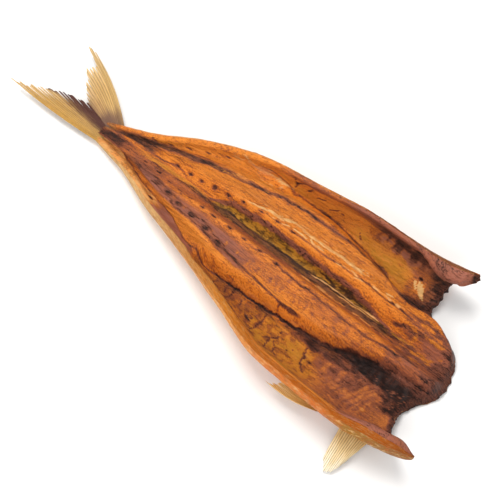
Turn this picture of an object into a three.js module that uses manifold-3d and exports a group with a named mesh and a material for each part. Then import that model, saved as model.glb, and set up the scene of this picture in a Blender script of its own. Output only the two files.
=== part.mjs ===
// A cold-smoked fish without its head, slit along the belly and opened flat, lying skin side down.
// Millimetres. +X runs from the tail to the head end and +Z is up. The fish lies on its back, so
// its own left half is at -Y. The station x is 0 at the tail root and grows towards the head end.
// A lane goes across the opened fish: -1 is the left belly edge, 0 the keel, +1 the right edge.
import * as THREE from 'three';
import { mergeVertices } from 'three/addons/utils/BufferGeometryUtils.js';
import Module from 'manifold-3d';

const wasm = await Module();
wasm.setup();

const LEFT = -1;
const RIGHT = 1;

// Stations along the fish.
const TAIL_ROOT = -12;
const VENT = 84;
const CAVITY_FULL = 100;

// Lengthwise profiles: [station, value], eased through a few stations.
const KEEL_LINE = [[-12, 0], [40, 1], [90, 2.5], [262, 3]];
const SKIN_WIDTH = {
  [LEFT]: [[-12, 6], [20, 16], [50, 31], [90, 48], [125, 64], [165, 80], [215, 82], [240, 77], [262, 67]],
  [RIGHT]: [[-12, 7], [20, 20], [50, 37], [85, 51], [96, 54], [125, 60], [165, 69], [205, 73], [240, 79]],
};
const FLAT_HALF_WIDTH = [[-12, 3], [40, 7], [90, 12], [200, 15], [262, 14]];
const FLANK_SLOPE = {
  [LEFT]: [[-12, 4], [60, 12], [120, 14], [262, 12]],
  [RIGHT]: [[-12, 4], [60, 14], [120, 18], [262, 16]],
};
const EDGE_SLOPE = {
  [LEFT]: [[-12, 50], [30, 75], [90, 88], [150, 98], [215, 101], [262, 98]],
  [RIGHT]: [[-12, 50], [30, 75], [90, 92], [150, 112], [200, 126], [240, 116]],
};
const CURL_START = [[-12, 0.3], [60, 0.52], [150, 0.55], [262, 0.55]];

// Flesh depth, measured square to the skin.
const GROOVE_DEPTH = [[-12, 4], [0, 8], [20, 10], [60, 10], [80, 8], [120, 5.5], [200, 5], [250, 5]];
const BACK_DEPTH = [[-12, 4], [0, 9], [20, 11], [60, 15], [100, 17.5], [170, 18], [225, 16], [250, 14]];
const GROOVE_HALF_WIDTH = [[-12, 6], [60, 7], [80, 6], [120, 6.5], [200, 7], [250, 7]];
const GROOVE_SHIFT = 2;
const TAIL_EDGE_DEPTH = [[-12, 3], [0, 5], [30, 6], [90, 5], [262, 4]];
const BACK_EDGE = {
  [LEFT]: [[84, 44], [100, 35], [140, 33], [170, 30], [195, 26], [215, 19], [240, 14]],
  [RIGHT]: [[84, 44], [100, 42], [140, 38], [170, 33], [195, 27], [225, 25], [240, 24]],
};
const BELLY_WALL_DEPTH = 5;
const BELLY_EDGE_DEPTH = 3.6;
const BACK_EDGE_STEP = 7;

// Head end: station of the cut against the lane, with a notch and a pointed flap on each side.
const HEAD_CUT = [
  [-1, 262], [-0.92, 261], [-0.8, 257], [-0.65, 249], [-0.52, 241], [-0.42, 239], [-0.3, 243], [-0.15, 249],
  [0, 250], [0.15, 246], [0.28, 232], [0.36, 219], [0.45, 217], [0.7, 218], [0.85, 222], [0.95, 229], [1, 230],
];

// Mesh steps. A side's lanes lie in four bands: groove bank, back, its edge, and belly wall.
const STATIONS = 54;
const BAND_LANES = [4, 5, 3, 6];
const LANES_PER_SIDE = BAND_LANES.reduce((sum, count) => sum + count, 0);
const BANK_END = 1.5;
const HEAD_STATION = 235;
const ARC_STEPS = 60;

// Tail fin: two lobes seen from above, as edge curves from the root outwards.
const TAIL_FIN_THICKNESS = 1.8;
const TAIL_FIN_HEIGHT = { root: 4.2, tip: 2.4 };
const TAIL_LEFT_OUTER = [[4, -7], [-26, -8.5], [-52, -9.8], [-77, -8.5]];
const TAIL_LEFT_INNER = [[-77, -8.5], [-70, -5.5], [-58, 0], [-42, 5], [-26, 8.5]];
const TAIL_RIGHT_INNER = [[-26, 8.5], [-33, 15], [-41, 25], [-47, 34], [-55, 40.5]];
const TAIL_RIGHT_OUTER = [[-55, 40.5], [-48, 40], [-34, 34], [-18, 24], [4, 9]];
const TAIL_SPLITS = 5;
const TAIL_SPLIT_DEPTH = 3;

// Belly fin fanned out on the table, and the side fin folded back along the skin.
const FAN_FIN = { root: [219, 235], rootY: -52, tip: [227, -80.5], rootZ: 8, tipZ: 1.4, thickness: 1.6 };
const SIDE_FIN = { root: [214, -56, 13], tip: [174, -61, 8], depth: 6.5, thickness: 1.6 };

// Moves the modelling origin to the middle of the fish's outer box, on the table.
const CENTRE_SHIFT = [-92.5, 11.3, 0];

/** Value of a keyed profile at x, on a monotone cubic through its keys. */
function profile(keys, x) {
  const last = keys.length - 1;
  const at = THREE.MathUtils.clamp(x, keys[0][0], keys[last][0]);
  const secant = (k) => (keys[k + 1][1] - keys[k][1]) / (keys[k + 1][0] - keys[k][0]);
  const tangent = (k) => {
    if (k === 0) return secant(0);
    if (k === last) return secant(last - 1);
    const [before, after] = [secant(k - 1), secant(k)];
    return before * after > 0 ? (2 * before * after) / (before + after) : 0;
  };
  let i = 0;
  while (i < last - 1 && at >= keys[i + 1][0]) i += 1;
  const h = keys[i + 1][0] - keys[i][0];
  const t = (at - keys[i][0]) / h;
  const rise = (3 - 2 * t) * t * t;
  return keys[i][1] * (1 - rise) + keys[i + 1][1] * rise
    + h * t * (1 - t) * (tangent(i) * (1 - t) - tangent(i + 1) * t);
}

const ease = (low, high, x) => THREE.MathUtils.smoothstep(x, low, high);

/** Slope of the skin across the fish, in radians, at a fraction of its width from the keel. */
function skinSlope(side, x, fraction) {
  const flat = profile(FLAT_HALF_WIDTH, x) / profile(SKIN_WIDTH[side], x);
  const flank = profile(FLANK_SLOPE[side], x);
  const edge = profile(EDGE_SLOPE[side], x);
  const curl = profile(CURL_START, x);
  const degrees = flank * ease(flat, Math.max(curl, flat + 0.1), fraction)
    + (edge - flank) * ease(curl, 1.02, fraction) ** 0.9;
  return THREE.MathUtils.degToRad(degrees);
}

/** Depth of flesh over the skin at a fraction of the side's width. */
function fleshDepth(side, x, fraction) {
  const distance = fraction * profile(SKIN_WIDTH[side], x);
  const fromGroove = Math.abs(side * distance - GROOVE_SHIFT);
  const groove = profile(GROOVE_HALF_WIDTH, x);
  const bank = ease(groove * 0.4, groove * BANK_END, fromGroove);
  const back = THREE.MathUtils.lerp(profile(GROOVE_DEPTH, x), profile(BACK_DEPTH, x), bank);
  const closed = THREE.MathUtils.lerp(back, profile(TAIL_EDGE_DEPTH, x), ease(0.45, 1, fraction));

  const edge = profile(BACK_EDGE[side], x);
  const rounded = back * (1 - 0.12 * ease(0.3 * edge, edge, distance));
  const step = ease(edge - BACK_EDGE_STEP / 2, edge + BACK_EDGE_STEP / 2, distance);
  const wall = THREE.MathUtils.lerp(BELLY_WALL_DEPTH, BELLY_EDGE_DEPTH, ease(0.7, 1, fraction));
  const opened = THREE.MathUtils.lerp(rounded, wall, step);
  return THREE.MathUtils.lerp(closed, opened, ease(VENT, CAVITY_FULL, x));
}

/** Skin, flesh and outer edge points at station x and a fraction of one side's width. */
function crossSection(side, x, fraction) {
  const stride = profile(SKIN_WIDTH[side], x) / ARC_STEPS;
  let [y, z] = [0, 0];
  for (let k = 0; k < ARC_STEPS && k < fraction * ARC_STEPS; k += 1) {
    const part = Math.min(1, fraction * ARC_STEPS - k);
    const middle = skinSlope(side, x, (k + part / 2) / ARC_STEPS);
    y += part * stride * Math.cos(middle);
    z += part * stride * Math.sin(middle);
  }
  const keel = profile(KEEL_LINE, x);
  const slope = skinSlope(side, x, fraction);
  const depth = fleshDepth(side, x, fraction);
  const inward = [-Math.sin(slope) * depth, Math.cos(slope) * depth];
  const outward = [Math.cos(slope) * depth / 3, Math.sin(slope) * depth / 3];
  return {
    skin: [x, keel + side * y, z],
    flesh: [x, keel + side * (y + inward[0]), z + inward[1]],
    edge: [x, keel + side * (y + inward[0] / 2 + outward[0]), z + inward[1] / 2 + outward[1]],
  };
}

/** Fraction of a side's width at which its lane number k runs at station x. */
function laneFraction(side, x, k) {
  const width = profile(SKIN_WIDTH[side], x);
  const edge = Math.min(profile(BACK_EDGE[side], x), width * 0.8);
  const bankEnd = Math.min(profile(GROOVE_HALF_WIDTH, x) * BANK_END + side * GROOVE_SHIFT, edge * 0.5);
  const halfStep = Math.min(BACK_EDGE_STEP / 2, edge * 0.2);
  const limits = [0, bankEnd, edge - halfStep, Math.min(edge + halfStep, width * 0.9), width];
  let [band, first] = [0, 0];
  while (band < BAND_LANES.length - 1 && k >= first + BAND_LANES[band]) {
    first += BAND_LANES[band];
    band += 1;
  }
  const within = (k - first) / BAND_LANES[band];
  return THREE.MathUtils.lerp(limits[band], limits[band + 1], within) / width;
}

/** Station at which a lane meets the cut at the head end. */
function laneEnd(side, k) {
  let x = HEAD_STATION;
  for (let round = 0; round < 4; round += 1) x = profile(HEAD_CUT, side * laneFraction(side, x, k));
  return x;
}

/** Lanes from the left edge to the right one, each with its side, number and end station. */
function laneList() {
  const lanes = [];
  for (let k = -LANES_PER_SIDE; k <= LANES_PER_SIDE; k += 1) {
    const side = k < 0 ? LEFT : RIGHT;
    lanes.push({ side, number: Math.abs(k), end: laneEnd(side, Math.abs(k)) });
  }
  return lanes;
}

/** One closed ring of points round the fish: flesh lanes, right edge, skin lanes, left edge. */
function ringAt(step, lanes) {
  const along = (step / STATIONS) ** 1.05;
  const points = lanes.map(({ side, number, end }) => {
    const x = THREE.MathUtils.lerp(TAIL_ROOT, end, along);
    return crossSection(side, x, laneFraction(side, x, number));
  });
  return [
    ...points.map((p) => p.flesh),
    points[points.length - 1].edge,
    ...points.map((p) => p.skin).reverse(),
    points[0].edge,
  ];
}

/** The body as one closed surface: rings along the fish, with a ladder of faces over each end. */
function bodyGeometry() {
  const lanes = laneList();
  const rings = [];
  for (let step = 0; step <= STATIONS; step += 1) rings.push(ringAt(step, lanes));
  const around = rings[0].length;
  const positions = rings.flat(2);
  const index = [];
  const quad = (a, b, c, d) => index.push(a, b, c, a, c, d);
  for (let step = 0; step < STATIONS; step += 1) {
    for (let k = 0; k < around; k += 1) {
      const next = (k + 1) % around;
      quad(step * around + k, (step + 1) * around + k, (step + 1) * around + next, step * around + next);
    }
  }
  const top = lanes.length;
  const skin = (k) => 2 * top - k;
  for (const [base, turned] of [[0, false], [STATIONS * around, true]]) {
    const face = (a, b, c) => index.push(base + a, base + (turned ? b : c), base + (turned ? c : b));
    for (let k = 0; k < top - 1; k += 1) {
      face(k, skin(k), skin(k + 1));
      face(k, skin(k + 1), k + 1);
    }
    face(top - 1, skin(top - 1), top);
    face(0, 2 * top + 1, skin(0));
  }
  const geometry = new THREE.BufferGeometry();
  geometry.setAttribute('position', new THREE.Float32BufferAttribute(positions, 3));
  geometry.setIndex(index);
  return geometry;
}

/** A thin closed blade: a flat outline given a thickness, then laid in place point by point. */
function bladeGeometry(outline, thickness, lay) {
  const shape = new THREE.Shape(outline.map(([u, v]) => new THREE.Vector2(u, v)));
  const geometry = new THREE.ExtrudeGeometry(shape, { depth: thickness, bevelEnabled: false });
  const position = geometry.getAttribute('position');
  for (let i = 0; i < position.count; i += 1) {
    const point = lay(position.getX(i), position.getY(i), position.getZ(i) - thickness / 2);
    position.setXYZ(i, point[0], point[1], point[2]);
  }
  return geometry;
}

/** Points on a smooth curve through a few places. */
function curvePoints(places, count) {
  const curve = new THREE.SplineCurve(places.map(([u, v]) => new THREE.Vector2(u, v)));
  return curve.getPoints(count).map((p) => [p.x, p.y]);
}

/** A torn fin edge: a smooth curve with splits at even places, deepest halfway along it. */
function tornEdge(places, inward) {
  const points = curvePoints(places, TAIL_SPLITS * 3);
  return points.map(([u, v], k) => {
    const split = k % 3 === 1 ? TAIL_SPLIT_DEPTH * Math.sin((Math.PI * k) / (TAIL_SPLITS * 3)) : 0;
    return [u + inward[0] * split, v + inward[1] * split];
  });
}

/** Both lobes of the tail fin as one blade, spreading from inside the tail root. */
function tailFinGeometry() {
  const outline = [
    ...curvePoints(TAIL_LEFT_OUTER, 8),
    ...tornEdge(TAIL_LEFT_INNER, [0.5, -0.86]).slice(1, -1),
    ...tornEdge(TAIL_RIGHT_INNER, [0.86, 0.3]).slice(0, -1),
    ...curvePoints(TAIL_RIGHT_OUTER, 8),
  ];
  return bladeGeometry(outline, TAIL_FIN_THICKNESS, (u, v, w) => {
    const out = THREE.MathUtils.clamp(-u / 77, 0, 1);
    return [u, v, THREE.MathUtils.lerp(TAIL_FIN_HEIGHT.root, TAIL_FIN_HEIGHT.tip, out) + 0.5 * Math.sin(v / 7) + w];
  });
}

/** The fan of the belly fin, wide at its root in the wall and rounded at its tip. */
function fanFinGeometry() {
  const [first, last] = FAN_FIN.root;
  const [tipX, tipY] = FAN_FIN.tip;
  const outline = [
    ...curvePoints([[first, FAN_FIN.rootY], [first, -64], [tipX - 4, -73], [tipX, tipY]], 9),
    ...curvePoints([[tipX, tipY], [tipX + 5, tipY + 3], [last - 1, -66], [last, FAN_FIN.rootY]], 9).slice(1),
  ].reverse();
  return bladeGeometry(outline, FAN_FIN.thickness, (u, v, w) => {
    const out = THREE.MathUtils.clamp((FAN_FIN.rootY - v) / (FAN_FIN.rootY - tipY), 0, 1);
    return [u, v, THREE.MathUtils.lerp(FAN_FIN.rootZ, FAN_FIN.tipZ, out ** 0.8) + w];
  });
}

/** The side fin: a narrow blade rooted in the wall and folded back along it. */
function sideFinGeometry() {
  const [rootX, rootY, rootZ] = SIDE_FIN.root;
  const [tipX, tipY, tipZ] = SIDE_FIN.tip;
  const length = rootX - tipX;
  const outline = [
    ...curvePoints([[0, 3], [length * 0.5, 3.5], [length, 0]], 8),
    ...curvePoints([[length, 0], [length * 0.55, -SIDE_FIN.depth + 3], [0, -SIDE_FIN.depth + 4]], 8).slice(1),
  ].reverse();
  return bladeGeometry(outline, SIDE_FIN.thickness, (u, v, w) => {
    const back = THREE.MathUtils.clamp(u / length, 0, 1);
    const y = THREE.MathUtils.lerp(rootY, tipY, back ** 0.7) + v * 0.35 + w;
    const z = THREE.MathUtils.lerp(rootZ, tipZ, back) + v * 0.9 + w * 0.3;
    return [rootX - u, y, z];
  });
}

/** A manifold solid from a closed geometry. */
function solidOf(geometry) {
  geometry.deleteAttribute('normal');
  geometry.deleteAttribute('uv');
  const merged = mergeVertices(geometry, 1e-4);
  return new wasm.Manifold(new wasm.Mesh({
    numProp: 3,
    vertProperties: new Float32Array(merged.getAttribute('position').array),
    triVerts: new Uint32Array(merged.getIndex().array),
  }));
}

/** A drawable geometry from a manifold solid. */
function geometryOf(solid) {
  const mesh = solid.getMesh();
  const geometry = new THREE.BufferGeometry();
  geometry.setAttribute('position', new THREE.BufferAttribute(mesh.vertProperties, 3));
  geometry.setIndex(new THREE.BufferAttribute(mesh.triVerts, 1));
  geometry.computeVertexNormals();
  return geometry;
}

const fins = [tailFinGeometry(), fanFinGeometry(), sideFinGeometry()];
const joined = fins.reduce((solid, fin) => solid.add(solidOf(fin)), solidOf(bodyGeometry()));
const smokedFlesh = new THREE.MeshStandardMaterial({ color: 0xb8642a, roughness: 0.45, metalness: 0 });
const fish = new THREE.Mesh(geometryOf(joined), smokedFlesh);
fish.name = 'fish';
fish.position.set(...CENTRE_SHIFT);

const model = new THREE.Group();
model.add(fish);
export default model;
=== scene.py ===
"""A cold-smoked fish, slit along the belly and opened flat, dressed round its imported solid.

Lengths are millimetres until a mesh is made, and metres in Blender. A place in the fish is a station x,
which is 0 at the tail root and grows towards the head end, and an arc s, measured along the skin from the
keel: below 0 on the fish's left half, which is at -Y, and above 0 on its right half.
"""

import logging
import math
from dataclasses import dataclass
from enum import Enum
from typing import Optional, Protocol, Sequence

import bpy
import numpy as np
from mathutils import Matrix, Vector


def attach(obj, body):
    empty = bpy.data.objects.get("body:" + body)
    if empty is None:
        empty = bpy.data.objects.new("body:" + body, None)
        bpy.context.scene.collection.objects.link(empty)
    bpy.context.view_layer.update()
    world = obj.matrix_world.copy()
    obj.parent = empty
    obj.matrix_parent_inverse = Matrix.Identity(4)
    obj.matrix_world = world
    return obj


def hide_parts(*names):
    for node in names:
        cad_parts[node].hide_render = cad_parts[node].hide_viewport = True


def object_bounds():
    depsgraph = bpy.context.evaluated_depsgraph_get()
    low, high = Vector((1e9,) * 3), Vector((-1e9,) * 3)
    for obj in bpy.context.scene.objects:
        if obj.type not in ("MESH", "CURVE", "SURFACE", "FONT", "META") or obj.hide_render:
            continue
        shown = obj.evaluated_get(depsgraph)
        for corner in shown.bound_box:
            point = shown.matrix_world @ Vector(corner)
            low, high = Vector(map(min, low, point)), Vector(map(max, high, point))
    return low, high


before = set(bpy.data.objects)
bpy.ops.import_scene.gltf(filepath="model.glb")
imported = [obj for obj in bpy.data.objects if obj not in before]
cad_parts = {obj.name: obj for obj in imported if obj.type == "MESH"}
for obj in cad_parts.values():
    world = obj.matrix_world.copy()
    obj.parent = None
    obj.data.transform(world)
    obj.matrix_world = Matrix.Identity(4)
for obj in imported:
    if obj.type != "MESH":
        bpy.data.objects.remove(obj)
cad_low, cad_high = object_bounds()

LOG = logging.getLogger("smoked_fish")
MILLIMETRE = 0.001

Array = np.ndarray
Socket = bpy.types.NodeSocket
Faces = list[tuple[int, ...]]
Pair = tuple[float, float]
Triple = tuple[float, float, float]
Colour = Triple
Stops = tuple[tuple[float, Colour], ...]


def ease(low: float | Array, high: float | Array, value: float | Array) -> Array:
    """Rise smoothly from 0 at low to 1 at high.

    Args:
        low: Where the rise starts.
        high: Where the rise ends.
        value: The places to read it at.

    Returns:
        The height of the rise, from 0 to 1.
    """
    t = np.clip((value - low) / (high - low), 0.0, 1.0)
    return t * t * (3.0 - 2.0 * t)


def mix(first: float | Array, second: float | Array, share: float | Array) -> Array:
    """Go from first to second by a share from 0 to 1."""
    return first * (1.0 - share) + second * share


@dataclass(frozen=True)
class Profile:
    """A value that changes along the fish, on a monotone cubic through its keys."""

    keys: tuple[Pair, ...]

    def at(self, x: float | Array) -> Array:
        """Read the profile.

        Args:
            x: Stations, in millimetres.

        Returns:
            The value at each station, level beyond the first and last key.
        """
        places = np.array([key[0] for key in self.keys], float)
        values = np.array([key[1] for key in self.keys], float)
        x = np.clip(np.asarray(x, float), places[0], places[-1])
        if len(places) == 2:
            return values[0] + (values[1] - values[0]) * (x - places[0]) / (places[1] - places[0])
        rise = np.diff(values) / np.diff(places)
        slope = np.zeros_like(values)
        slope[0], slope[-1] = rise[0], rise[-1]
        alike = rise[:-1] * rise[1:] > 0
        total = np.where(alike, rise[:-1] + rise[1:], 1.0)
        slope[1:-1] = np.where(alike, 2.0 * rise[:-1] * rise[1:] / total, 0.0)
        i = np.clip(np.searchsorted(places, x, side="right") - 1, 0, len(places) - 2)
        step = places[i + 1] - places[i]
        t = (x - places[i]) / step
        up = (3.0 - 2.0 * t) * t * t
        bend = step * t * (1.0 - t) * (slope[i] * (1.0 - t) - slope[i + 1] * t)
        return values[i] * (1.0 - up) + values[i + 1] * up + bend

    @property
    def span(self) -> Pair:
        """First and last station of the profile."""
        return self.keys[0][0], self.keys[-1][0]


def along(*keys: Pair) -> Profile:
    """Make a profile from its keys."""
    return Profile(keys)


@dataclass(frozen=True)
class Halves:
    """A profile for each half of the fish."""

    left: Profile
    right: Profile

    def at(self, sign: Array, x: Array) -> Array:
        """Read the left or the right profile, by the sign of the arc."""
        return np.where(sign < 0, self.left.at(x), self.right.at(x))


@dataclass(frozen=True)
class Grain:
    """Smooth random numbers over a plane, the same at each run."""

    seed: int
    cells: int = 256
    layer_shift: Pair = (17.3, 9.1)

    def at(self, u: Array, v: Array) -> Array:
        """Read one layer of the grain.

        Args:
            u: First coordinate, in cells.
            v: Second coordinate, in cells.

        Returns:
            Values from 0 to 1.
        """
        table = np.random.default_rng(self.seed).random((self.cells, self.cells))
        u0, v0 = np.floor(u).astype(int), np.floor(v).astype(int)
        a, b = ease(0.0, 1.0, u - u0), ease(0.0, 1.0, v - v0)
        wrap = self.cells - 1
        corner = [[table[(u0 + i) & wrap, (v0 + j) & wrap] for j in (0, 1)] for i in (0, 1)]
        return mix(mix(corner[0][0], corner[0][1], b), mix(corner[1][0], corner[1][1], b), a)

    def layered(self, u: Array, v: Array, layers: int = 3) -> Array:
        """Sum layers that halve in size and in strength.

        Args:
            u: First coordinate, in cells of the widest layer.
            v: Second coordinate, in the same cells.
            layers: How many layers are summed.

        Returns:
            Values around 0, about -0.5 to 0.5.
        """
        total = np.zeros(np.broadcast(u, v).shape)
        for k in range(layers):
            shift_u, shift_v = self.layer_shift[0] * k, self.layer_shift[1] * k
            total += (self.at(u * 2**k + shift_u, v * 2**k + shift_v) - 0.5) / 2**k
        return total


@dataclass(frozen=True)
class Weave:
    """One layer of random relief: its number, its cells' length and width, its layers and strength."""

    seed: int
    length: float | Array
    width: float | Array
    layers: int = 3
    strength: float = 1.0

    def at(self, x: Array, s: Array) -> Array:
        """The height of the layer at each place."""
        return self.strength * Grain(self.seed).layered(x / self.length, s / self.width, self.layers)


# ---------------------------------------------------------------------------------------------------
# The form of the fish


@dataclass(frozen=True)
class FlapPad:
    """Extra flesh in one pointed flap, and where it sets in along and across the fish."""

    thickness: float
    stations: Pair
    distances: Pair

    def at(self, x: Array, distance: Array) -> Array:
        """The extra thickness at each place."""
        return self.thickness * ease(*self.stations, x) * ease(*self.distances, distance)


@dataclass(frozen=True)
class FishForm:
    """The solid form of the opened body: the skin's cross-section and the flesh depth on it."""

    tail_root: float = -12.0
    vent: float = 84.0
    cavity_full: float = 100.0
    keel_line: Profile = along((-12, 0), (40, 1), (90, 2.5), (262, 3))
    skin_width: Halves = Halves(
        along((-12, 6), (20, 16), (50, 31), (90, 48), (125, 64), (165, 80), (215, 82), (240, 77), (262, 67)),
        along((-12, 7), (20, 20), (50, 37), (85, 51), (96, 54), (125, 60), (165, 69), (205, 73), (240, 79)))
    flat_half_width: Profile = along((-12, 3), (40, 7), (90, 12), (200, 15), (262, 14))
    flank_slope: Halves = Halves(
        along((-12, 4), (60, 12), (120, 14), (262, 12)),
        along((-12, 4), (60, 14), (120, 18), (262, 16)))
    edge_slope: Halves = Halves(
        along((-12, 50), (30, 75), (90, 88), (150, 98), (215, 101), (262, 98)),
        along((-12, 50), (30, 75), (90, 92), (150, 112), (200, 126), (240, 116)))
    curl_start: Profile = along((-12, 0.3), (60, 0.52), (150, 0.55), (262, 0.55))
    flank_rise: float = 0.1
    curl_end: float = 1.02
    curl_power: float = 0.9
    groove_depth: Profile = along((-12, 4), (0, 8), (20, 10), (60, 10), (80, 8), (120, 5.5), (200, 5),
                                  (250, 5))
    back_depth: Profile = along((-12, 4), (0, 9), (20, 11), (60, 15), (100, 17.5), (170, 18), (225, 16),
                                (250, 14))
    groove_half_width: Profile = along((-12, 6), (60, 7), (80, 6), (120, 6.5), (200, 7), (250, 7))
    groove_shift: float = 2.0
    bank_start: float = 0.4
    bank_end: float = 1.5
    tail_edge_depth: Profile = along((-12, 3), (0, 5), (30, 6), (90, 5), (262, 4))
    tail_thinning: Pair = (0.45, 1.0)
    back_fall: float = 0.12
    back_fall_start: float = 0.3
    back_edge: Halves = Halves(
        along((84, 42), (100, 33.2), (120, 31.4), (140, 30.1), (160, 27.7), (180, 25.2), (197, 19.8),
              (215, 14.8), (240, 11)),
        along((84, 44), (100, 42), (140, 38), (170, 33), (195, 27), (225, 25), (240, 24)))
    left_pad: FlapPad = FlapPad(4.6, (212, 236), (50, 60))
    right_pad: FlapPad = FlapPad(7.6, (192, 214), (56, 65))
    rim_swell: Profile = along((95, 0), (115, 1.8), (140, 1.4), (165, 0.6), (262, 0))
    rim_swell_rise: Pair = (0.76, 0.97)
    rim_fill: Profile = along((120, 0), (150, 2.4), (215, 3.0), (240, 1.0), (262, 0))
    rim_fill_rise: Pair = (0.6, 0.8)
    rim_fill_fall: Pair = (0.86, 1.0)
    tip_length: float = 9.0
    left_tip_stretch: float = 2.0
    left_tip_start: float = 0.6
    tip_loss: Pair = (0.85, 0.42)
    flap_start: Pair = (0.72, 0.86)
    back_end: Pair = (0.3, 0.45)
    back_loss: float = 0.7
    wall_depth: float = 5.0
    wall_edge_depth: float = 3.6
    wall_thinning: Pair = (0.7, 1.0)
    back_edge_step: float = 5.0
    head_cut: Profile = along(
        (-1, 262), (-0.94, 260), (-0.84, 255), (-0.68, 247), (-0.54, 240), (-0.42, 239), (-0.3, 243),
        (-0.15, 249), (0, 250), (0.15, 246), (0.28, 232), (0.36, 219), (0.45, 217), (0.7, 218), (0.85, 222),
        (0.93, 228.5), (0.975, 230), (1, 227))
    rag_depth: float = 2.0
    rag_cells: float = 14.0
    rag_setback: float = 1.0
    arc_steps: int = 60
    centre_shift: Triple = (-92.5, 11.3, 0.0)

    def cut_ends(self, share: Array) -> Array:
        """Where each lane ends at the rough head cut, by its signed share of the width."""
        within = np.clip(share, -1, 1)
        ragged = self.rag_depth * Grain(51).layered(within * self.rag_cells, share * 0.0, 3)
        return self.head_cut.at(within) + ragged - self.rag_setback

    def depth(self, sign: Array, x: Array, share: Array) -> Array:
        """Depth of flesh over the skin.

        Args:
            sign: -1 on the left half and 1 on the right one.
            x: Stations.
            share: Fraction of the half's width from the keel.

        Returns:
            The depth square to the skin, in millimetres.
        """
        distance = share * self.skin_width.at(sign, x)
        groove = self.groove_half_width.at(x)
        from_groove = np.abs(sign * distance - self.groove_shift)
        bank = ease(groove * self.bank_start, groove * self.bank_end, from_groove)
        back = mix(self.groove_depth.at(x), self.back_depth.at(x), bank)
        closed = mix(back, self.tail_edge_depth.at(x), ease(*self.tail_thinning, share))
        edge = self.back_edge.at(sign, x)
        rounded = back * (1.0 - self.back_fall * ease(self.back_fall_start * edge, edge, distance))
        half_step = self.back_edge_step / 2
        wall = mix(self.wall_depth, self.wall_edge_depth, ease(*self.wall_thinning, share))
        opened = mix(rounded, wall, ease(edge - half_step, edge + half_step, distance))
        full = mix(closed, opened, ease(self.vent, self.cavity_full, x)) + self.flap_pad(sign, x, distance)
        return (full + self.rim_roll(sign, x, share)) * self.tip_taper(sign, x, share)

    def tip_taper(self, sign: Array, x: Array, share: Array) -> Array:
        """How much thickness is left where the pointed flaps round off, at each place."""
        end = self.head_cut.at(sign * share)
        stretched = (sign < 0) & (share > self.left_tip_start)
        length = np.where(stretched, self.left_tip_stretch, 1.0) * self.tip_length
        close = ease(0.0, 1.0, 1.0 - (end - x) / length)
        flap = ease(*self.flap_start, share)
        back = 1.0 - ease(*self.back_end, share)
        loss = np.where(sign < 0, *self.tip_loss)
        return 1.0 - loss * close**2 * flap - self.back_loss * close**3 * back

    def rim_roll(self, sign: Array, x: Array, share: Array) -> Array:
        """Extra thickness of the near half: a swell on its rim and a fill of the hollow beside it."""
        swell = self.rim_swell.at(x) * ease(*self.rim_swell_rise, share)
        fill = self.rim_fill.at(x) * ease(*self.rim_fill_rise, share)
        return np.where(sign < 0, swell + fill * (1.0 - ease(*self.rim_fill_fall, share)), 0.0)

    def flap_pad(self, sign: Array, x: Array, distance: Array) -> Array:
        """Extra flesh in the pointed flaps at the head end."""
        return np.where(sign < 0, self.left_pad.at(x, distance), self.right_pad.at(x, distance))

    def section(self, sign: Array, x: Array, share: Array) -> tuple[Array, Array, Array]:
        """Work out the skin's curve across the fish.

        Args:
            sign: -1 on the left half and 1 on the right one.
            x: Stations.
            share: Fraction of the half's width from the keel.

        Returns:
            Skin points, unit vectors into the flesh, and unit vectors towards the belly edge.
        """
        width = self.skin_width.at(sign, x)
        flat = self.flat_half_width.at(x) / width
        flank = self.flank_slope.at(sign, x)
        curl = self.curl_start.at(x)
        edge = self.edge_slope.at(sign, x)
        level = np.maximum(curl, flat + self.flank_rise)

        def slope(part: Array) -> Array:
            """Slope of the skin at a fraction of the width, in radians."""
            curled = ease(curl, self.curl_end, part) ** self.curl_power
            return np.radians(flank * ease(flat, level, part) + (edge - flank) * curled)

        y, z = np.zeros_like(width), np.zeros_like(width)
        stride = share * width / self.arc_steps
        for k in range(self.arc_steps):
            here = slope(share * (k + 0.5) / self.arc_steps)
            y += np.cos(here) * stride
            z += np.sin(here) * stride
        here = slope(share)
        skin = np.stack([x, self.keel_line.at(x) + sign * y, z], -1) + self.centre_shift
        inward = np.stack([np.zeros_like(x), -sign * np.sin(here), np.cos(here)], -1)
        outward = np.stack([np.zeros_like(x), sign * np.cos(here), np.sin(here)], -1)
        return skin, inward, outward


# ---------------------------------------------------------------------------------------------------
# Marks: where the flesh is dark, fat, golden, creased


SWAY_LENGTH = 7.0
SHAKE_LENGTH = 5.0
SEAM_SIDE = (0.55, 1.25)
CRACK_SIDE = (0.5, 1.3)
SPOT_SIDE = (0.6, 1.25)
PATCH_RISE = (-0.12, 0.18)
GAP_RISE = (-0.1, 0.1)
GAP_LENGTH = 14.0
GAP_WIDTH = 6.0
THREAD_CORE = 0.4
FAR_AWAY = 1e9


class Shape(Protocol):
    """Anything that covers part of the flesh."""

    def cover(self, x: Array, s: Array) -> Array:
        """How much of each place is covered, from 0 to 1."""


@dataclass(frozen=True)
class Seam:
    """A line that runs lengthwise: its arc and its half width are profiles."""

    path: Profile
    half: Profile | float
    wobble: float = 0.35
    fade: float = 5.0
    seed: int = 3

    def cover(self, x: Array, s: Array) -> Array:
        """How much of each place the line covers.

        Args:
            x: Stations.
            s: Arcs.

        Returns:
            1 on the line, falling to 0 at its sides and ends.
        """
        half = self.half.at(x) if isinstance(self.half, Profile) else self.half
        sway = self.wobble * 2.0 * Grain(self.seed).layered(x / SWAY_LENGTH, s * 0.0 + self.seed, 3)
        across = 1.0 - ease(*SEAM_SIDE, np.abs(s - self.path.at(x) - sway) / half)
        first, last = self.path.span
        return across * ease(first - self.fade, first + 1, x) * (1.0 - ease(last - 1, last + self.fade, x))


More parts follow.
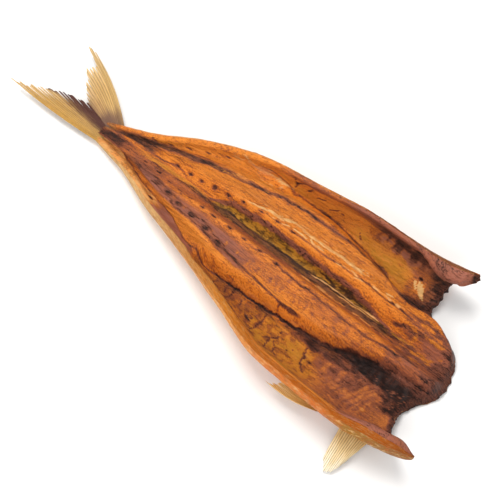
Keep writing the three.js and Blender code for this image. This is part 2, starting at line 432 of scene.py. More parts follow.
@dataclass(frozen=True)
class Zone:
    """A field between two lengthwise lines, with soft borders."""

    low: Profile | float
    high: Profile | float
    span: Pair
    soft: float = 2.0
    fade: float = 8.0

    def cover(self, x: Array, s: Array) -> Array:
        """How much of each place the field covers.

        Args:
            x: Stations.
            s: Arcs.

        Returns:
            1 inside the field, falling to 0 over its borders.
        """
        low = self.low.at(x) if isinstance(self.low, Profile) else self.low
        high = self.high.at(x) if isinstance(self.high, Profile) else self.high
        above = ease(low - self.soft, low + self.soft, s)
        below = 1.0 - ease(high - self.soft, high + self.soft, s)
        first, last = self.span
        return above * below * ease(first - self.fade, first + self.fade, x) \
            * (1.0 - ease(last - self.fade, last + self.fade, x))


@dataclass(frozen=True)
class Crack:
    """A short line through a few places, in any direction."""

    places: tuple[Pair, ...]
    half: float = 0.6
    wobble: float = 0.7

    def cover(self, x: Array, s: Array) -> Array:
        """How much of each place the line covers.

        Args:
            x: Stations.
            s: Arcs.

        Returns:
            1 on the line, falling to 0 at its sides.
        """
        x = x + self.wobble * 2.0 * Grain(11).layered(x / SHAKE_LENGTH, s / SHAKE_LENGTH, 2)
        s = s + self.wobble * 2.0 * Grain(12).layered(x / SHAKE_LENGTH, s / SHAKE_LENGTH, 2)
        nearest = np.full(np.broadcast(x, s).shape, FAR_AWAY)
        for (x0, s0), (x1, s1) in zip(self.places, self.places[1:]):
            run, rise = x1 - x0, s1 - s0
            t = np.clip(((x - x0) * run + (s - s0) * rise) / (run * run + rise * rise), 0.0, 1.0)
            nearest = np.minimum(nearest, np.hypot(x - x0 - t * run, s - s0 - t * rise))
        return 1.0 - ease(*CRACK_SIDE, nearest / self.half)


@dataclass(frozen=True)
class Spot:
    """An oval patch, longer along the fish or across it."""

    x: float
    s: float
    reach: Pair

    def cover(self, x: Array, s: Array) -> Array:
        """How much of each place the patch covers."""
        return 1.0 - ease(*SPOT_SIDE, np.hypot((x - self.x) / self.reach[0], (s - self.s) / self.reach[1]))


@dataclass(frozen=True)
class Patches:
    """Breaks a mark up into specks or streaks of a given length and width."""

    length: float
    width: float
    amount: float = 1.0
    seed: int = 5

    def keep(self, x: Array, s: Array) -> Array:
        """How much of a mark stays at each place, from 0 to 1."""
        grain = Grain(self.seed).layered(x / self.length, s / self.width, 3)
        return 1.0 - self.amount * (1.0 - ease(*PATCH_RISE, grain))


@dataclass(frozen=True)
class Strands:
    """Breaks a mark up into thin wandering threads."""

    length: float
    width: float
    thread: float = 0.05
    seed: int = 6

    def keep(self, x: Array, s: Array) -> Array:
        """How much of a mark stays at each place, from 0 to 1."""
        grain = Grain(self.seed).layered(x / self.length, s / self.width, 3)
        gaps = ease(*GAP_RISE, Grain(self.seed + 1).layered(x / GAP_LENGTH, s / GAP_WIDTH, 2))
        return (1.0 - ease(THREAD_CORE * self.thread, self.thread, np.abs(grain))) * gaps


class Tint(Enum):
    """The layers of colour that a mark can set, each a layer of the mesh."""

    TONE = "tone"
    PINK = "pink"
    GOLD = "gold"
    FAT = "fat"
    GREY = "grey"


@dataclass(frozen=True)
class Mark:
    """A shape laid over the flesh: the colour it pulls it to, its relief and what breaks it up."""

    shape: Shape
    tone: float
    amount: float = 1.0
    pink: float = 0.0
    gold: float = 0.0
    fat: float = 0.0
    grey: float = 0.0
    relief: float = 0.0
    by: Optional[Patches | Strands] = None

    def lay(self, layers: dict[Tint, Array], relief: Array, x: Array, s: Array) -> None:
        """Lay the mark over what is there.

        Args:
            layers: The colour layers, changed in place.
            relief: Height over the form, in millimetres, changed in place.
            x: Stations.
            s: Arcs.
        """
        weight = self.shape.cover(x, s) * self.amount
        if self.by is not None:
            weight = weight * self.by.keep(x, s)
        target = {Tint.TONE: self.tone, Tint.PINK: self.pink, Tint.GOLD: self.gold, Tint.FAT: self.fat,
                  Tint.GREY: self.grey}
        for tint, value in target.items():
            layers[tint] += (value - layers[tint]) * weight
        relief += self.relief * weight


SPECKS = Patches(3.0, 1.6)
STREAKS = Patches(9.0, 1.8)
LONG_STREAKS = Patches(22.0, 2.0, 0.8)
BLOTCHES = Patches(11.0, 7.0, 0.75)
THREADS = Strands(24.0, 3.0)
FINE_THREADS = Strands(12.0, 1.8, 0.07, 8)
PALE_THREADS = Strands(10.0, 1.6, 0.05, 57)


@dataclass(frozen=True)
class FleshMarks:
    """Every mark of the cut flesh, laid in order from the wide fields to the fine lines."""

    sway_x: Weave = Weave(1, 6.0, 5.0, 3, 1.5)
    sway_s: Weave = Weave(2, 6.0, 5.0, 3, 0.8)
    plain_tone: float = 0.7
    near_bands: int = 15
    far_bands: int = 13
    band_ticks: int = 9
    wall_folds: int = 8
    middle: Profile = along((4, 9), (20, 14), (35, 17), (51, 19.2), (60, 21.4), (73, 23.6), (83, 25.5),
                            (93, 27), (100, 28.5), (110, 31), (130, 33), (150, 33), (185, 30))
    right_edge: Profile = along((93, 48), (105, 45), (115, 42), (130, 41), (150, 38), (170, 34.3),
                                (184, 31.4), (192, 26), (202, 22), (208, 22), (213, 24))
    left_edge: Profile = along(
        (88, -39.8), (94, -36.6), (100, -35.3), (120, -33.5), (140, -32.2), (160, -29.8), (170, -29),
        (180, -27.2), (190, -24.7), (197, -21.6), (206, -18.5), (215, -16.6), (226, -14.2), (243, -13))
    right_bank: Profile = along((76, 3.0), (83, 5.9), (90, 7.3), (100, 7.9), (120, 8.6), (150, 8.3),
                                (172, 8.4), (185, 7.3), (200, 5.1), (210, 3.6))
    left_border: Profile = along((-12, -3.6), (5, -6), (20, -12.5), (33, -19.5), (50, -23.8), (65, -28),
                                 (72, -32), (82, -37.5), (90, -40))

    def marks(self) -> list[Mark]:
        """All marks in the order in which they are laid."""
        return [*self.broad_fields(), *self.right_middle(), *self.right_fat(), *self.groove(),
                *self.left_half(), *self.left_strip(), *self.right_wall(), *self.right_flap(),
                *self.left_wall(), *self.left_shadow(), *self.pin_bones(), *self.head_end()]

    def broad_fields(self) -> list[Mark]:
        """The widest fields of each half, from the tail to the head end."""
        return [
            Mark(Zone(2, 90, (0, 262)), 0.97),
            Mark(Zone(-90, -2, (0, 262)), 0.88, pink=0.1),
            Mark(Zone(self.middle, 90, (20, 125)), 1.04),
            Mark(Zone(16, 29, (92, 205)), 1.04, 0.8, pink=0.3, by=LONG_STREAKS),
            Mark(Zone(-34, -20, (58, 165), soft=3), 1.06, by=Patches(40, 8, 0.2)),
            Mark(Zone(-14, 4, (-6, 44), soft=3), 0.42, pink=0.2, by=Patches(18, 2.5, 0.5)),
            Mark(Zone(4, 18, (70, 235), soft=3), 0.82, 0.5, by=Patches(30, 3, 0.7, 23)),
            Mark(Zone(-60, 60, (20, 235)), 0.38, 0.5, pink=0.25, by=THREADS),
            Mark(Zone(-60, 60, (30, 235)), 0.45, 0.4, pink=0.3, by=FINE_THREADS),
            Mark(Zone(-60, 60, (30, 235)), 1.1, 0.5, fat=0.25, by=PALE_THREADS),
        ]

    def right_middle(self) -> list[Mark]:
        """The dark line along the middle of the right half, wide and smoky at the tail."""
        smoke = along((-6, 5), (4, 9), (20, 14.5), (30, 18), (42, 21.5))
        wide = along((4, 3.4), (35, 3.4), (45, 2.9), (60, 2.2), (90, 1.6), (104, 1.0), (185, 0.8))
        shade = along((8, 5.5), (40, 5.2), (65, 3.6), (95, 2.4), (185, 1.8))
        above = along((40, 22), (52, 25), (70, 27.5))
        return [
            Mark(Seam(self.middle, shade, 0.5, 9), 0.6, 0.6, pink=0.4, by=Patches(12, 3, 0.3)),
            Mark(Zone(5, along((2, 11), (34, 24)), (3, 32), 1.2, 5), 0.24, 0.95, grey=0.7,
                 by=Patches(12, 2.4, 0.35, 106)),
            Mark(Seam(above, 3.0, 0.6, 8, 7), 0.42, 0.8, pink=0.2, by=Patches(8, 3, 0.4)),
            Mark(Seam(smoke, along((-6, 3), (4, 5), (20, 6), (42, 5)), 0.6, 9, 4), 0.28, 0.92, grey=0.7,
                 by=Patches(14, 1.8, 0.35)),
            Mark(Seam(self.middle, wide, 0.5, 9), 0.22, 0.95, pink=0.2, grey=0.55, relief=-0.4,
                 by=Patches(14, 2.2, 0.25)),
            Mark(Seam(self.middle, along((35, 1.8), (88, 1.2), (96, 0.6)), 0.5, 6), 0.8, 0.9, gold=0.7,
                 fat=0.3, relief=0.25, by=Strands(5, 1.0, 0.08, 27)),
            Mark(Zone(25, 30, (66, 90), 1.5), 0.95, 0.6, gold=0.3, fat=0.5, by=SPECKS),
        ]

    def right_fat(self) -> list[Mark]:
        """Pale fat on the right half: the wavy lines beside the middle and the streaks at the rim."""
        wave = along((98, 11.8), (105, 13), (115, 15), (125, 18), (131, 19), (140, 18), (155, 17.6),
                     (172, 18.2))
        streak = along((78, 48), (88, 45.5), (95, 44.8), (105, 43.5), (111, 43))
        crease = along((127, 13.4), (140, 13), (150, 12.5), (165, 13.5), (185, 13.4), (202, 13.6),
                       (215, 12.6), (240, 11))
        low = along((98, 10.5), (130, 17), (180, 16.5))
        high = along((98, 15), (130, 22.5), (180, 22))
        short = (((140, 17), (143, 13.5), (146, 12)), ((114, 12), (125, 13.5)), ((160, 13), (168, 14.4)),
                 ((172, 12), (180, 14)), ((193, 17), (197, 17.5)), ((128, 14.5), (133, 15), (137, 14)))
        return [
            Mark(Seam(streak, 0.55, 0.8), 1.0, 0.95, fat=0.9, relief=0.2, by=Patches(4, 1.5, 0.5)),
            Mark(Zone(40, 50, (70, 108), 1.5, 8), 0.95, 0.85, fat=0.8, by=Strands(8, 2.0, 0.08, 30)),
            Mark(Zone(41, 49, (80, 96), 1.5, 5), 0.9, 0.8, pink=0.5, fat=0.3, by=STREAKS),
            Mark(Zone(20, 26, (120, 160), 1.5, 12), 1.0, 0.8, fat=0.35, by=STREAKS),
            Mark(Seam(wave, 1.1, 0.9, 7), 1.0, 0.97, fat=1.0, relief=0.3, by=Patches(3.5, 1.4, 0.5)),
            Mark(Zone(low, high, (98, 186), 1.0, 6), 1.0, 0.9, fat=0.85, relief=0.2,
                 by=Strands(6, 1.6, 0.07, 28)),
            Mark(Zone(low, high, (112, 178), 1.0, 9), 1.0, 0.8, fat=0.5, by=Patches(3, 1.1, 1.0, 56)),
            *(Mark(Crack(places, 0.5), 1.0, 0.9, fat=0.9, relief=0.2) for places in short),
            Mark(Zone(9.6, 12.2, (88, 225), 0.7), 1.04, 0.85, fat=0.1, by=Patches(30, 3, 0.4, 26)),
            Mark(Seam(crease, 0.6, 0.4, 3, 9), 0.3, 0.9, relief=-0.25, by=Patches(12, 2, 0.3)),
            Mark(Zone(13.5, 15.5, (130, 215), 0.8), 1.0, 0.85, fat=0.7, by=Patches(3.5, 1.5)),
        ]

    def groove(self) -> list[Mark]:
        """The groove that the backbone left, its banks and the tan strip towards the tail."""
        mouth = along((76, 2.5), (83, 5.6), (90, 7.1), (120, 8.3), (172, 8.2), (185, 7.1), (200, 4.8),
                      (208, 3.5))
        floor = along((76, 1.2), (90, 3.2), (190, 3.6), (206, 2.6))
        gleam = along((152, 3.2), (170, 4.2), (185, 4.6), (197, 4.6))
        return [
            Mark(Zone(0.6, 4.2, (22, 74), 0.8, 7), 0.86, 0.95, gold=0.55, fat=0.15,
                 by=Patches(20, 1.5, 0.35)),
            Mark(Seam(along((24, 4.6), (36, 5.4), (48, 7), (60, 5), (74, 4.6)), 0.6, 0.4, 4, 58), 0.34,
                 0.85, relief=-0.2, by=Patches(9, 2, 0.4)),
            Mark(Seam(along((30, 0.6), (74, 0.6)), 0.7, 0.4, 4, 59), 0.3, 0.8, by=Patches(9, 2, 0.4)),
            Mark(Zone(0.8, 2.6, (58, 78), 0.8, 3), 0.16, 0.85, gold=0.3, grey=0.4, by=Patches(4, 1.2, 0.6)),
            Mark(Zone(-0.4, mouth, (79, 206), 0.4, 3), 0.56, 0.97, gold=0.95, relief=-0.3),
            Mark(Zone(floor, mouth, (80, 204), 0.5, 3), 0.95, 0.75, gold=1.0, by=Patches(2.6, 1.1, 1.0, 60)),
            Mark(Zone(floor, mouth, (80, 204), 0.5, 3), 0.16, 0.6, gold=0.8, by=Patches(3.4, 1.1, 1.0, 80)),
            Mark(Zone(-0.4, floor, (79, 206), 0.5, 3), 0.22, 0.9, gold=0.2, grey=0.7,
                 by=Patches(9, 1.4, 0.4)),
            Mark(Seam(floor, 0.7, 0.3, 3, 81), 0.08, 0.85, gold=0.4, grey=0.3, by=Patches(8, 2, 0.5)),
            Mark(Zone(0, 2.6, (84, 205), 0.6), 0.75, 0.8, grey=1.0, by=Patches(6, 0.9, 1.0, 22)),
            Mark(Zone(gleam, mouth, (150, 205), 0.6), 0.08, 0.8, gold=0.4, by=Patches(5, 0.9, 0.9, 61)),
            Mark(Seam(gleam, 0.4, 0.3), 1.0, 0.95, gold=0.4, fat=0.85, relief=0.3, by=Patches(9, 2, 0.3)),
            Mark(Seam(along((165, 2.2), (180, 3.2), (195, 3.4)), 0.3, 0.3), 1.0, 0.9, gold=0.5, fat=0.7,
                 relief=0.3, by=Patches(6, 2, 0.4, 62)),
            Mark(Seam(self.right_bank, along((76, 0.8), (90, 1.1), (190, 1.0), (210, 0.7)), 0.2, 3, 8),
                 0.36, pink=0.5, by=Patches(14, 2, 0.15)),
            Mark(Seam(along((206, 8), (222, 9), (240, 9)), 0.7, 0.4, 4, 8), 0.28, relief=-0.2),
            Mark(Zone(1.5, 4.6, (204, 219), 0.8, 3), 0.06, 0.95, grey=0.3, relief=-0.8,
                 by=Patches(5, 2, 0.4)),
            Mark(Seam(along((207, 4.4), (218, 3.8)), 0.5, 0.3, 2), 0.9, 0.8, gold=1.0),
            Mark(Zone(-3.6, -0.2, (18, 236), 0.7), 0.55, 0.85, pink=0.4, by=Patches(18, 1.6, 0.35)),
            Mark(Zone(-1.4, 0.2, (140, 205), 0.5), 1.0, 0.8, fat=0.6, by=Patches(5, 0.9, 1.0, 63)),
        ]

    def left_half(self) -> list[Mark]:
        """The smudges, dark lines and mauve field of the left half."""
        smudges = ((47, -10), (56.5, -12.4), (65.7, -15.4), (76.5, -16.6), (88, -18.2), (99.5, -21.6))
        lower = along((88, -21.5), (100, -22.5), (112, -23), (118, -24.8), (130, -24.8), (140, -26),
                      (150, -27), (162, -26.6))
        upper = along((140, -9.8), (150, -10.4), (170, -10.4), (184, -11.3), (200, -11.4), (207, -10),
                      (222, -8))
        mauve_low, mauve_high = along((30, -13), (60, -19), (110, -27)), along((30, -5), (60, -9), (110, -13))
        marks = [
            Mark(Zone(mauve_low, mauve_high, (34, 122), 2.0, 8), 0.4, 0.9, pink=0.95,
                 by=Patches(22, 3, 0.35)),
            Mark(Zone(along((110, -26), (230, -20)), -11, (105, 235), 3, 8), 0.78, 0.65, pink=0.35,
                 by=Patches(26, 3, 0.6)),
            Mark(Zone(-6.6, -3.4, (40, 150), 1.0, 8), 0.6, 0.8, pink=0.45, by=Patches(16, 1.6, 0.5, 64)),
        ]
        for k in range(self.near_bands):
            x = 108.0 + 8.4 * k
            bend = ((x + 2, -7.5), (x - 2.5, -12), (x - 3, -17), (x + 3, -23.5 + 0.25 * k))
            marks.append(Mark(Crack(bend, 0.9, 1.6), 0.5, 0.55, pink=0.5, relief=-0.15,
                              by=Patches(5, 4, 0.8, 104)))
        for k in range(self.far_bands):
            x = 84.0 + 9.6 * k
            bend = ((x + 3, 31 - 0.4 * k), (x - 2, 26), (x + 1, 20.5))
            marks.append(Mark(Crack(bend, 0.8, 1.6), 0.62, 0.45, pink=0.4, relief=-0.15,
                              by=Patches(5, 4, 0.8, 105)))
        for k in range(self.band_ticks):
            x = 93.0 + 8.8 * k
            marks.append(Mark(Crack(((x, -15.5 - 0.3 * k), (x + 0.5, -19 - 0.3 * k)), 0.7, 0.8), 0.4, 0.7,
                              pink=0.5, relief=-0.2, by=Patches(3, 3, 0.5, 35)))
            # A pale golden tick beside each dark one: the small bump's own golden colour with a painted
            # highlight.
            marks.append(Mark(Crack(((x + 1.8, -15.6 - 0.3 * k), (x + 2.4, -18.6 - 0.3 * k)), 0.6, 0.6),
                              1.0, 0.8, gold=0.3, fat=0.4, relief=0.3, by=Patches(3, 3, 0.5, 36)))
        for x, s in smudges:
            marks.append(Mark(Spot(x + 4.6, s + 0.5, (1.0, 3.4)), 0.9, 0.75, pink=0.3, fat=0.15,
                              relief=0.35, by=Patches(4, 3, 0.5)))
            marks.append(Mark(Spot(x, s, (3.0, 2.8)), 0.12, 0.92, grey=0.55, relief=-0.4,
                              by=Patches(2.4, 2.0, 0.5)))
            marks.append(Mark(Crack(((x - 5, s + 3.6), (x, s + 3.0), (x + 5, s + 1.4)), 0.6), 0.3, 0.8,
                              relief=-0.2, by=Patches(5, 2, 0.4)))
            marks.append(Mark(Crack(((x - 4, s - 2.8), (x + 1, s - 3.6), (x + 6, s - 5)), 0.8), 0.28, 0.85,
                              relief=-0.2, by=Patches(5, 2, 0.4)))
        marks += [
            Mark(Seam(lower, along((88, 1.4), (130, 1.1), (162, 0.8)), 0.4, 3, 14), 0.22, 0.92, pink=0.1,
                 grey=0.2, relief=-0.3, by=Patches(8, 3, 0.3)),
            Mark(Crack(((150, -27), (151, -29.5)), 0.6), 0.3),
            Mark(Seam(upper, 0.7, 0.3, 3, 15), 0.3, 0.95, relief=-0.25, by=Patches(10, 2, 0.2)),
            Mark(Crack(((134, -7.5), (138, -9.5), (147, -11)), 0.6), 0.3, 0.8),
        ]
        return marks

    def left_strip(self) -> list[Mark]:
        """The strip between the flesh and the near rim: golden skin at the tail, mauve further on."""
        return [
            Mark(Zone(-90, self.left_border, (-30, 58), 0.6, 5), 0.95, 0.97, gold=0.25, fat=0.55, grey=0.2,
                 by=Patches(14, 2, 0.25)),
            Mark(Zone(-90, self.left_border, (54, 92), 0.6, 5), 0.84, 0.95, pink=0.95,
                 by=Patches(16, 4, 0.2)),
            Mark(Zone(-90, self.left_border, (6, 56), 0.6, 5), 0.62, 0.6, gold=0.5, fat=0.2,
                 by=Patches(5, 3, 1.0, 65)),
            Mark(Spot(48, -27.4, (2.0, 1.6)), 0.15, 0.9, grey=0.3),
            Mark(Seam(self.left_border, 0.7, 0.4, 5, 6), 0.32, 0.85, relief=-0.4, by=Patches(10, 3, 0.4)),
        ]

    def right_wall(self) -> list[Mark]:
        """The belly wall of the right half: gold and brown film, cracks, and painted shade under the rim
        where it folds over.
        """
        cracks = (((110, 56), (111, 49), (111, 46)), ((111, 51), (116, 56)), ((118, 50), (122, 54)),
                  ((125, 48), (130, 52)), ((135, 45), (140, 49.5)), ((157, 43), (161, 40)))
        inner = along((93, 50), (105, 47), (115, 43), (135, 41.8), (155, 38.4), (170, 35.5), (184, 32.5),
                      (192, 27), (202, 23.6), (240, 25))
        return [
            Mark(Zone(inner, 90, (97, 262), 0.9, 4), 1.06, pink=0.15, gold=0.1),
            Mark(Zone(inner, 51, (97, 195), 2.0, 6), 1.06, 0.9, gold=0.45, by=Patches(16, 5, 0.6)),
            Mark(Zone(inner, 44, (150, 200), 2.0, 6), 1.06, 0.8, gold=0.8, by=Patches(14, 4, 0.4)),
            Mark(Zone(inner, 64, (100, 200), 2.0, 6), 0.7, 0.3, pink=0.1, by=Patches(8, 9, 0.9, 43)),
            Mark(Zone(inner, 60, (100, 205), 2.0, 6), 0.4, 0.45, by=Strands(5, 9, 0.05, 44)),
            Mark(Zone(inner, 46, (140, 198), 1.5, 9), 1.1, 0.7, gold=0.35, fat=0.35, relief=0.15,
                 by=Strands(7, 5, 0.07, 66)),
            Mark(Zone(40, 54, (168, 206), 3.0, 7), 1.02, 0.85, pink=0.9, fat=0.15, by=BLOTCHES),
            # Darker mauve-brown towards the far rim: the rim's own colour, with painted shade where it curls
            # up.
            Mark(Zone(along((90, 50), (125, 57), (165, 62), (205, 62)), 90, (100, 262), 1.2, 9), 0.42, 0.85,
                 pink=0.35, by=Patches(14, 4, 0.35)),
            # Painted shadow under the rolled rim.
            Mark(Zone(along((140, 59), (185, 53), (205, 50)), along((140, 63), (205, 64)), (146, 222), 1.6,
                      9), 0.16, 0.9, pink=0.2, grey=0.4, by=Patches(9, 12, 0.45)),
            *(Mark(Crack(places, 0.55), 0.2, 0.85, grey=0.2, relief=-0.4) for places in cracks),
            # Painted shade: dark streaks hanging down from the shadow under the rim.
            Mark(Zone(46, 63, (166, 210), 4.0, 8), 0.18, 0.85, grey=0.5, relief=-0.4,
                 by=Patches(3.2, 13, 1.0, 78)),
            Mark(Spot(143.5, 47.8, (1.4, 1.0)), 0.15, 0.9),
        ]

    def right_flap(self) -> list[Mark]:
        """The end of the right wall, dark with painted shade under the far flap and marked with painted
        glints, and its mauve pointed flap.
        """
        # Painted highlights: short pale oily glints on the wall's shaded end.
        highlight_strokes = (((199, 38.5), (202.5, 34.5)), ((201.2, 39.2), (205.4, 33)), ((203.4, 38.6), (207.2, 32)),
                   ((205.6, 37), (208.6, 31.5)))
        return [
            Mark(Zone(28, 56, (196, 206), 2.0, 4), 0.6, 0.8, pink=0.3, by=Patches(3, 9, 0.5)),
            # Painted shade under the far flap's overhang, at the wall's front end.
            Mark(Zone(26, 62, (206, 240), 2.5, 3.5), 0.2, 0.94, grey=0.6, relief=-0.2, by=Patches(4, 6, 0.3)),
            Mark(Zone(30, 56, (208, 240), 2.5, 3), 0.6, 0.7, pink=0.4, relief=0.3,
                 by=Strands(3, 7, 0.06, 67)),
            Mark(Zone(62, 90, (150, 262), 1.2, 14), 0.42, 0.92, pink=0.6, relief=0.2,
                 by=Patches(12, 6, 0.25)),
            Mark(Zone(63, 66.5, (190, 232), 0.8, 8), 0.78, 0.85, pink=0.6, relief=0.3,
                 by=Patches(16, 3, 0.25)),
            Mark(Zone(67, 90, (206, 262), 1.5, 6), 0.36, 0.9, pink=0.6, grey=0.25, by=Patches(5, 4, 0.5)),
            Mark(Zone(60, 90, (216, 262), 2.5, 4), 0.66, 0.8, pink=0.95, fat=0.1, by=Patches(4, 3, 0.6, 68)),
            Mark(Zone(68, 90, (227, 262), 1.5, 2), 0.24, 0.9, pink=0.2, by=Patches(6, 5, 0.3)),
            # Painted highlights along the glint strokes.
            *(Mark(Crack(places, 0.62, 0.3), 1.0, 1.0, fat=1.0, relief=0.3) for places in highlight_strokes),
            Mark(Spot(201, 41, (1.6, 1.0)), 0.05, 1.0, relief=-0.8),
            # Painted shade: a dark line at the foot of the flesh's edge, widening to the front.
            Mark(Seam(self.right_edge, along((93, 0.5), (150, 0.7), (180, 0.9), (195, 1.8), (213, 2.4)),
                      0.3, 4, 16), 0.2, 0.9, gold=0.2, relief=-0.5, by=Patches(9, 3, 0.3)),
            # Painted shadow: a near-black patch under the flesh's edge at the front.
            Mark(Zone(22, 29, (199, 222), 1.2, 3), 0.03, 0.95, grey=0.2, relief=-0.4, by=Patches(4, 3, 0.25)),
        ]

    def left_wall(self) -> list[Mark]:
        """The belly wall of the left half: film, veins and the mauve pad at the head end, with painted shade
        and painted highlights on its folds and rim.
        """
        veins = (((112, -36), (112.5, -42)), ((119, -35), (118.5, -41)), ((123.5, -34), (123, -45)),
                 ((131, -34), (131, -41)), ((146, -34), (147, -44), (146.5, -55)), ((139, -43), (143, -44)),
                 ((159, -36), (160.5, -41.5)), ((158, -44), (158, -55)), ((160.5, -44.5), (166, -54)),
                 ((154, -47), (158, -44), (160.5, -41.5)),
                 ((176.5, -34), (177, -40), (180.5, -45), (183, -49.6)))
        spots = ((142, -42), (172, -41.5), (183, -41.5), (169, -44), (188, -37), (193, -42))
        inner = along((86, -43), (94, -37.6), (100, -36.2), (120, -34.4), (140, -33.2), (160, -30.8),
                      (180, -28.2), (197, -22.6), (206, -19.5), (226, -15.2), (262, -14))
        front = along((190, -31), (205, -26), (222, -27), (240, -36))
        return [
            Mark(Zone(-90, inner, (93, 262), 0.7, 4), 0.86, gold=0.35),
            Mark(Zone(-68, inner, (96, 150), 2, 9), 0.52, 0.75, pink=0.2, gold=0.3, grey=0.1,
                 by=Patches(9, 5, 0.6, 31)),
            Mark(Zone(-68, -34, (140, 190), 4, 9), 1.0, 0.85, gold=0.75, by=Patches(10, 7, 0.5, 69)),
            Mark(Zone(-68, inner, (100, 225), 4, 9), 0.36, 0.55, by=Strands(7, 8, 0.045, 45)),
            Mark(Zone(-68, inner, (110, 225), 4, 9), 0.3, 0.5, pink=0.1, by=Patches(3, 2.6, 1.0, 70)),
            Mark(Zone(-68, front, (188, 250), 3, 8), 0.9, 0.9, pink=0.6, by=Patches(14, 6, 0.4, 33)),
            Mark(Zone(-60, -30, (196, 245), 3, 8), 0.4, 0.5, pink=0.3, by=Patches(9, 7, 0.9, 38)),
            Mark(Zone(-58, front, (194, 240), 2, 8), 1.05, 0.7, pink=0.4, fat=0.25, relief=0.35,
                 by=Strands(9, 7, 0.05, 39)),
            # Pale fold lines: painted highlights on the crease ridges, with some real relief.
            *(Mark(Crack(((204 + 3.4 * k, -28 - 0.4 * k), (200 + 3.4 * k, -35), (195 + 3.6 * k, -44 - k)),
                         0.5, 0.9),
                   1.04, 0.7, pink=0.45, fat=0.3, relief=0.5, by=Patches(5, 5, 0.5, 84 + k))
              for k in range(self.wall_folds)),
            # Dark fold lines beside them: painted shade in the creases, with some real relief.
            *(Mark(Crack(((202 + 3.4 * k, -29), (198 + 3.4 * k, -36), (193 + 3.6 * k, -45 - k)), 0.6, 0.9),
                   0.3, 0.6, pink=0.4, relief=-0.4, by=Patches(5, 5, 0.6, 94 + k))
              for k in range(self.wall_folds)),
            Mark(Zone(-90, along((98, -43.5), (120, -48), (150, -60), (175, -68), (215, -74)), (96, 230),
                      0.6, 5), 1.12, 0.95, pink=0.05, gold=0.05, fat=0.2, by=Patches(9, 4, 0.35, 34)),
            Mark(Zone(-90, -56, (214, 262), 1.5, 7), 0.42, 0.92, pink=0.75, by=Patches(14, 4, 0.3)),
            Mark(Spot(252, -66, (5, 3)), 0.9, 0.8, pink=0.3),
            Mark(Zone(-90, -60, (258, 262), 2, 2), 0.36, 0.8, pink=0.3),
            # Painted shade: a dark line at the foot of the near rim.
            Mark(Seam(along((98, -41.5), (110, -44), (120, -46.5), (130, -50), (140, -55), (152, -59.5)),
                      0.7, 0.4, 4, 17), 0.2, 0.85, relief=-0.35, by=Patches(9, 3, 0.3)),
            # Painted highlights: two pale wet glints.
            Mark(Spot(228, -38, (1.6, 1.0)), 1.0, 0.8, fat=0.7),
            Mark(Spot(222, -45, (1.8, 1.0)), 1.0, 0.8, fat=0.5),
            *(Mark(Spot(x, s, (1.0, 0.8)), 0.15, 0.8) for x, s in spots),
            *(Mark(Crack(places, 0.5, 0.9), 0.2, 0.85, grey=0.15, relief=-0.4) for places in veins),
        ]

    def left_shadow(self) -> list[Mark]:
        """Painted shade: the dark line and hollow where the left wall comes out from under the flesh, with a
        few painted highlights.
        """
        low = along((150, -31.5), (168, -33), (185, -33.5), (200, -31.5), (215, -30), (228, -32), (240, -39))
        return [
            # Painted shade under the flesh's overhanging edge: dark streaks, dark zones and a black band.
            Mark(Zone(-41, low, (184, 232), 2.5, 8), 0.34, 0.8, pink=0.3, by=Patches(3.0, 12, 1.0, 79)),
            Mark(Zone(low, self.left_edge, (164, 262), 1.4, 8), 0.2, 0.92, pink=0.2, grey=0.15,
                 by=Patches(5, 2.4, 0.4, 47)),
            Mark(Zone(along((190, -26.5), (208, -26), (225, -27), (250, -34)), self.left_edge, (193, 262),
                      1.2, 4), 0.02, 0.95, grey=0.1, by=Patches(5, 3, 0.2, 71)),
            Mark(Zone(-38, -20, (226, 262), 2.5, 4), 0.08, 0.9, grey=0.3, by=Patches(4, 6, 0.4)),
            # Painted highlights: pale wet glints in the shaded hollow.
            Mark(Zone(-40, -20, (214, 250), 2.5, 4), 0.8, 0.6, pink=0.4, grey=0.6, fat=0.3, relief=0.3,
                 by=Strands(5, 4, 0.03, 72)),
            # Painted shade: a near-black spot, dark patches and the black line along the flesh's edge.
            Mark(Spot(179, -31.5, (4.5, 3.2)), 0.06, 0.92, pink=0.1, by=Patches(4, 2, 0.35, 73)),
            Mark(Zone(along((120, -36), (160, -33), (190, -30)), self.left_edge, (100, 200), 0.8, 6), 0.3,
                 0.75, gold=0.3, by=Patches(4, 2, 0.9, 48)),
            Mark(Seam(self.left_edge, along((88, 0.45), (150, 0.6), (165, 0.9), (200, 1.5), (243, 2.0)),
                      0.25, 4, 18), 0.05, 0.95, relief=-0.4, by=Patches(12, 3, 0.25, 74)),
            # Painted highlight: a thin pale line along the top of the flesh's edge.
            Mark(Seam(along((100, -34), (140, -31), (160, -28.4), (180, -25.8), (197, -20), (226, -12.6)),
                      0.5, 0.3, 5, 18), 1.0, 0.6, pink=0.5, fat=0.2, relief=0.2, by=Patches(9, 2, 0.5, 75)),
        ]

    def pin_bones(self) -> list[Mark]:
        """The two rows of small pits where the pin bones went in."""
        right = ((47, 7.6), (56.5, 7.6), (65, 7.9), (75, 8.3), (84.7, 9.1), (94.4, 10), (106.6, 11.2),
                 (118, 12.3), (129, 12.8))
        left = ((30, -1.4), (41, -1.8), (50.4, -3.7), (59, -4.4), (68, -5.7), (78.5, -7.2), (87, -7.6),
                (99, -7.8),
                (110, -8.1), (122, -8.5), (135, -9))
        rim = ((24, 22), (34, 25), (45, 30), (56, 35), (67, 40))
        return [
            *(Mark(Spot(x, s, (3.0, 1.5)), 0.6, 0.55, pink=0.2) for x, s in (*right, *left)),
            *(Mark(Spot(x, s, (1.7, 0.65)), 0.16, 0.92, grey=0.1, relief=-0.6) for x, s in (*right, *left)),
            # Painted highlight: a pale glint beside each pit of the left row.
            *(Mark(Crack(((x + 1, s - 1.4), (x + 4.5, s - 1.2)), 0.35, 0.3), 1.0, 0.6, fat=0.5) for x,
              s in left[3:]),
            *(Mark(Spot(x, s, (2.2, 0.7)), 0.2, 0.85, relief=-0.3) for x, s in rim),
        ]

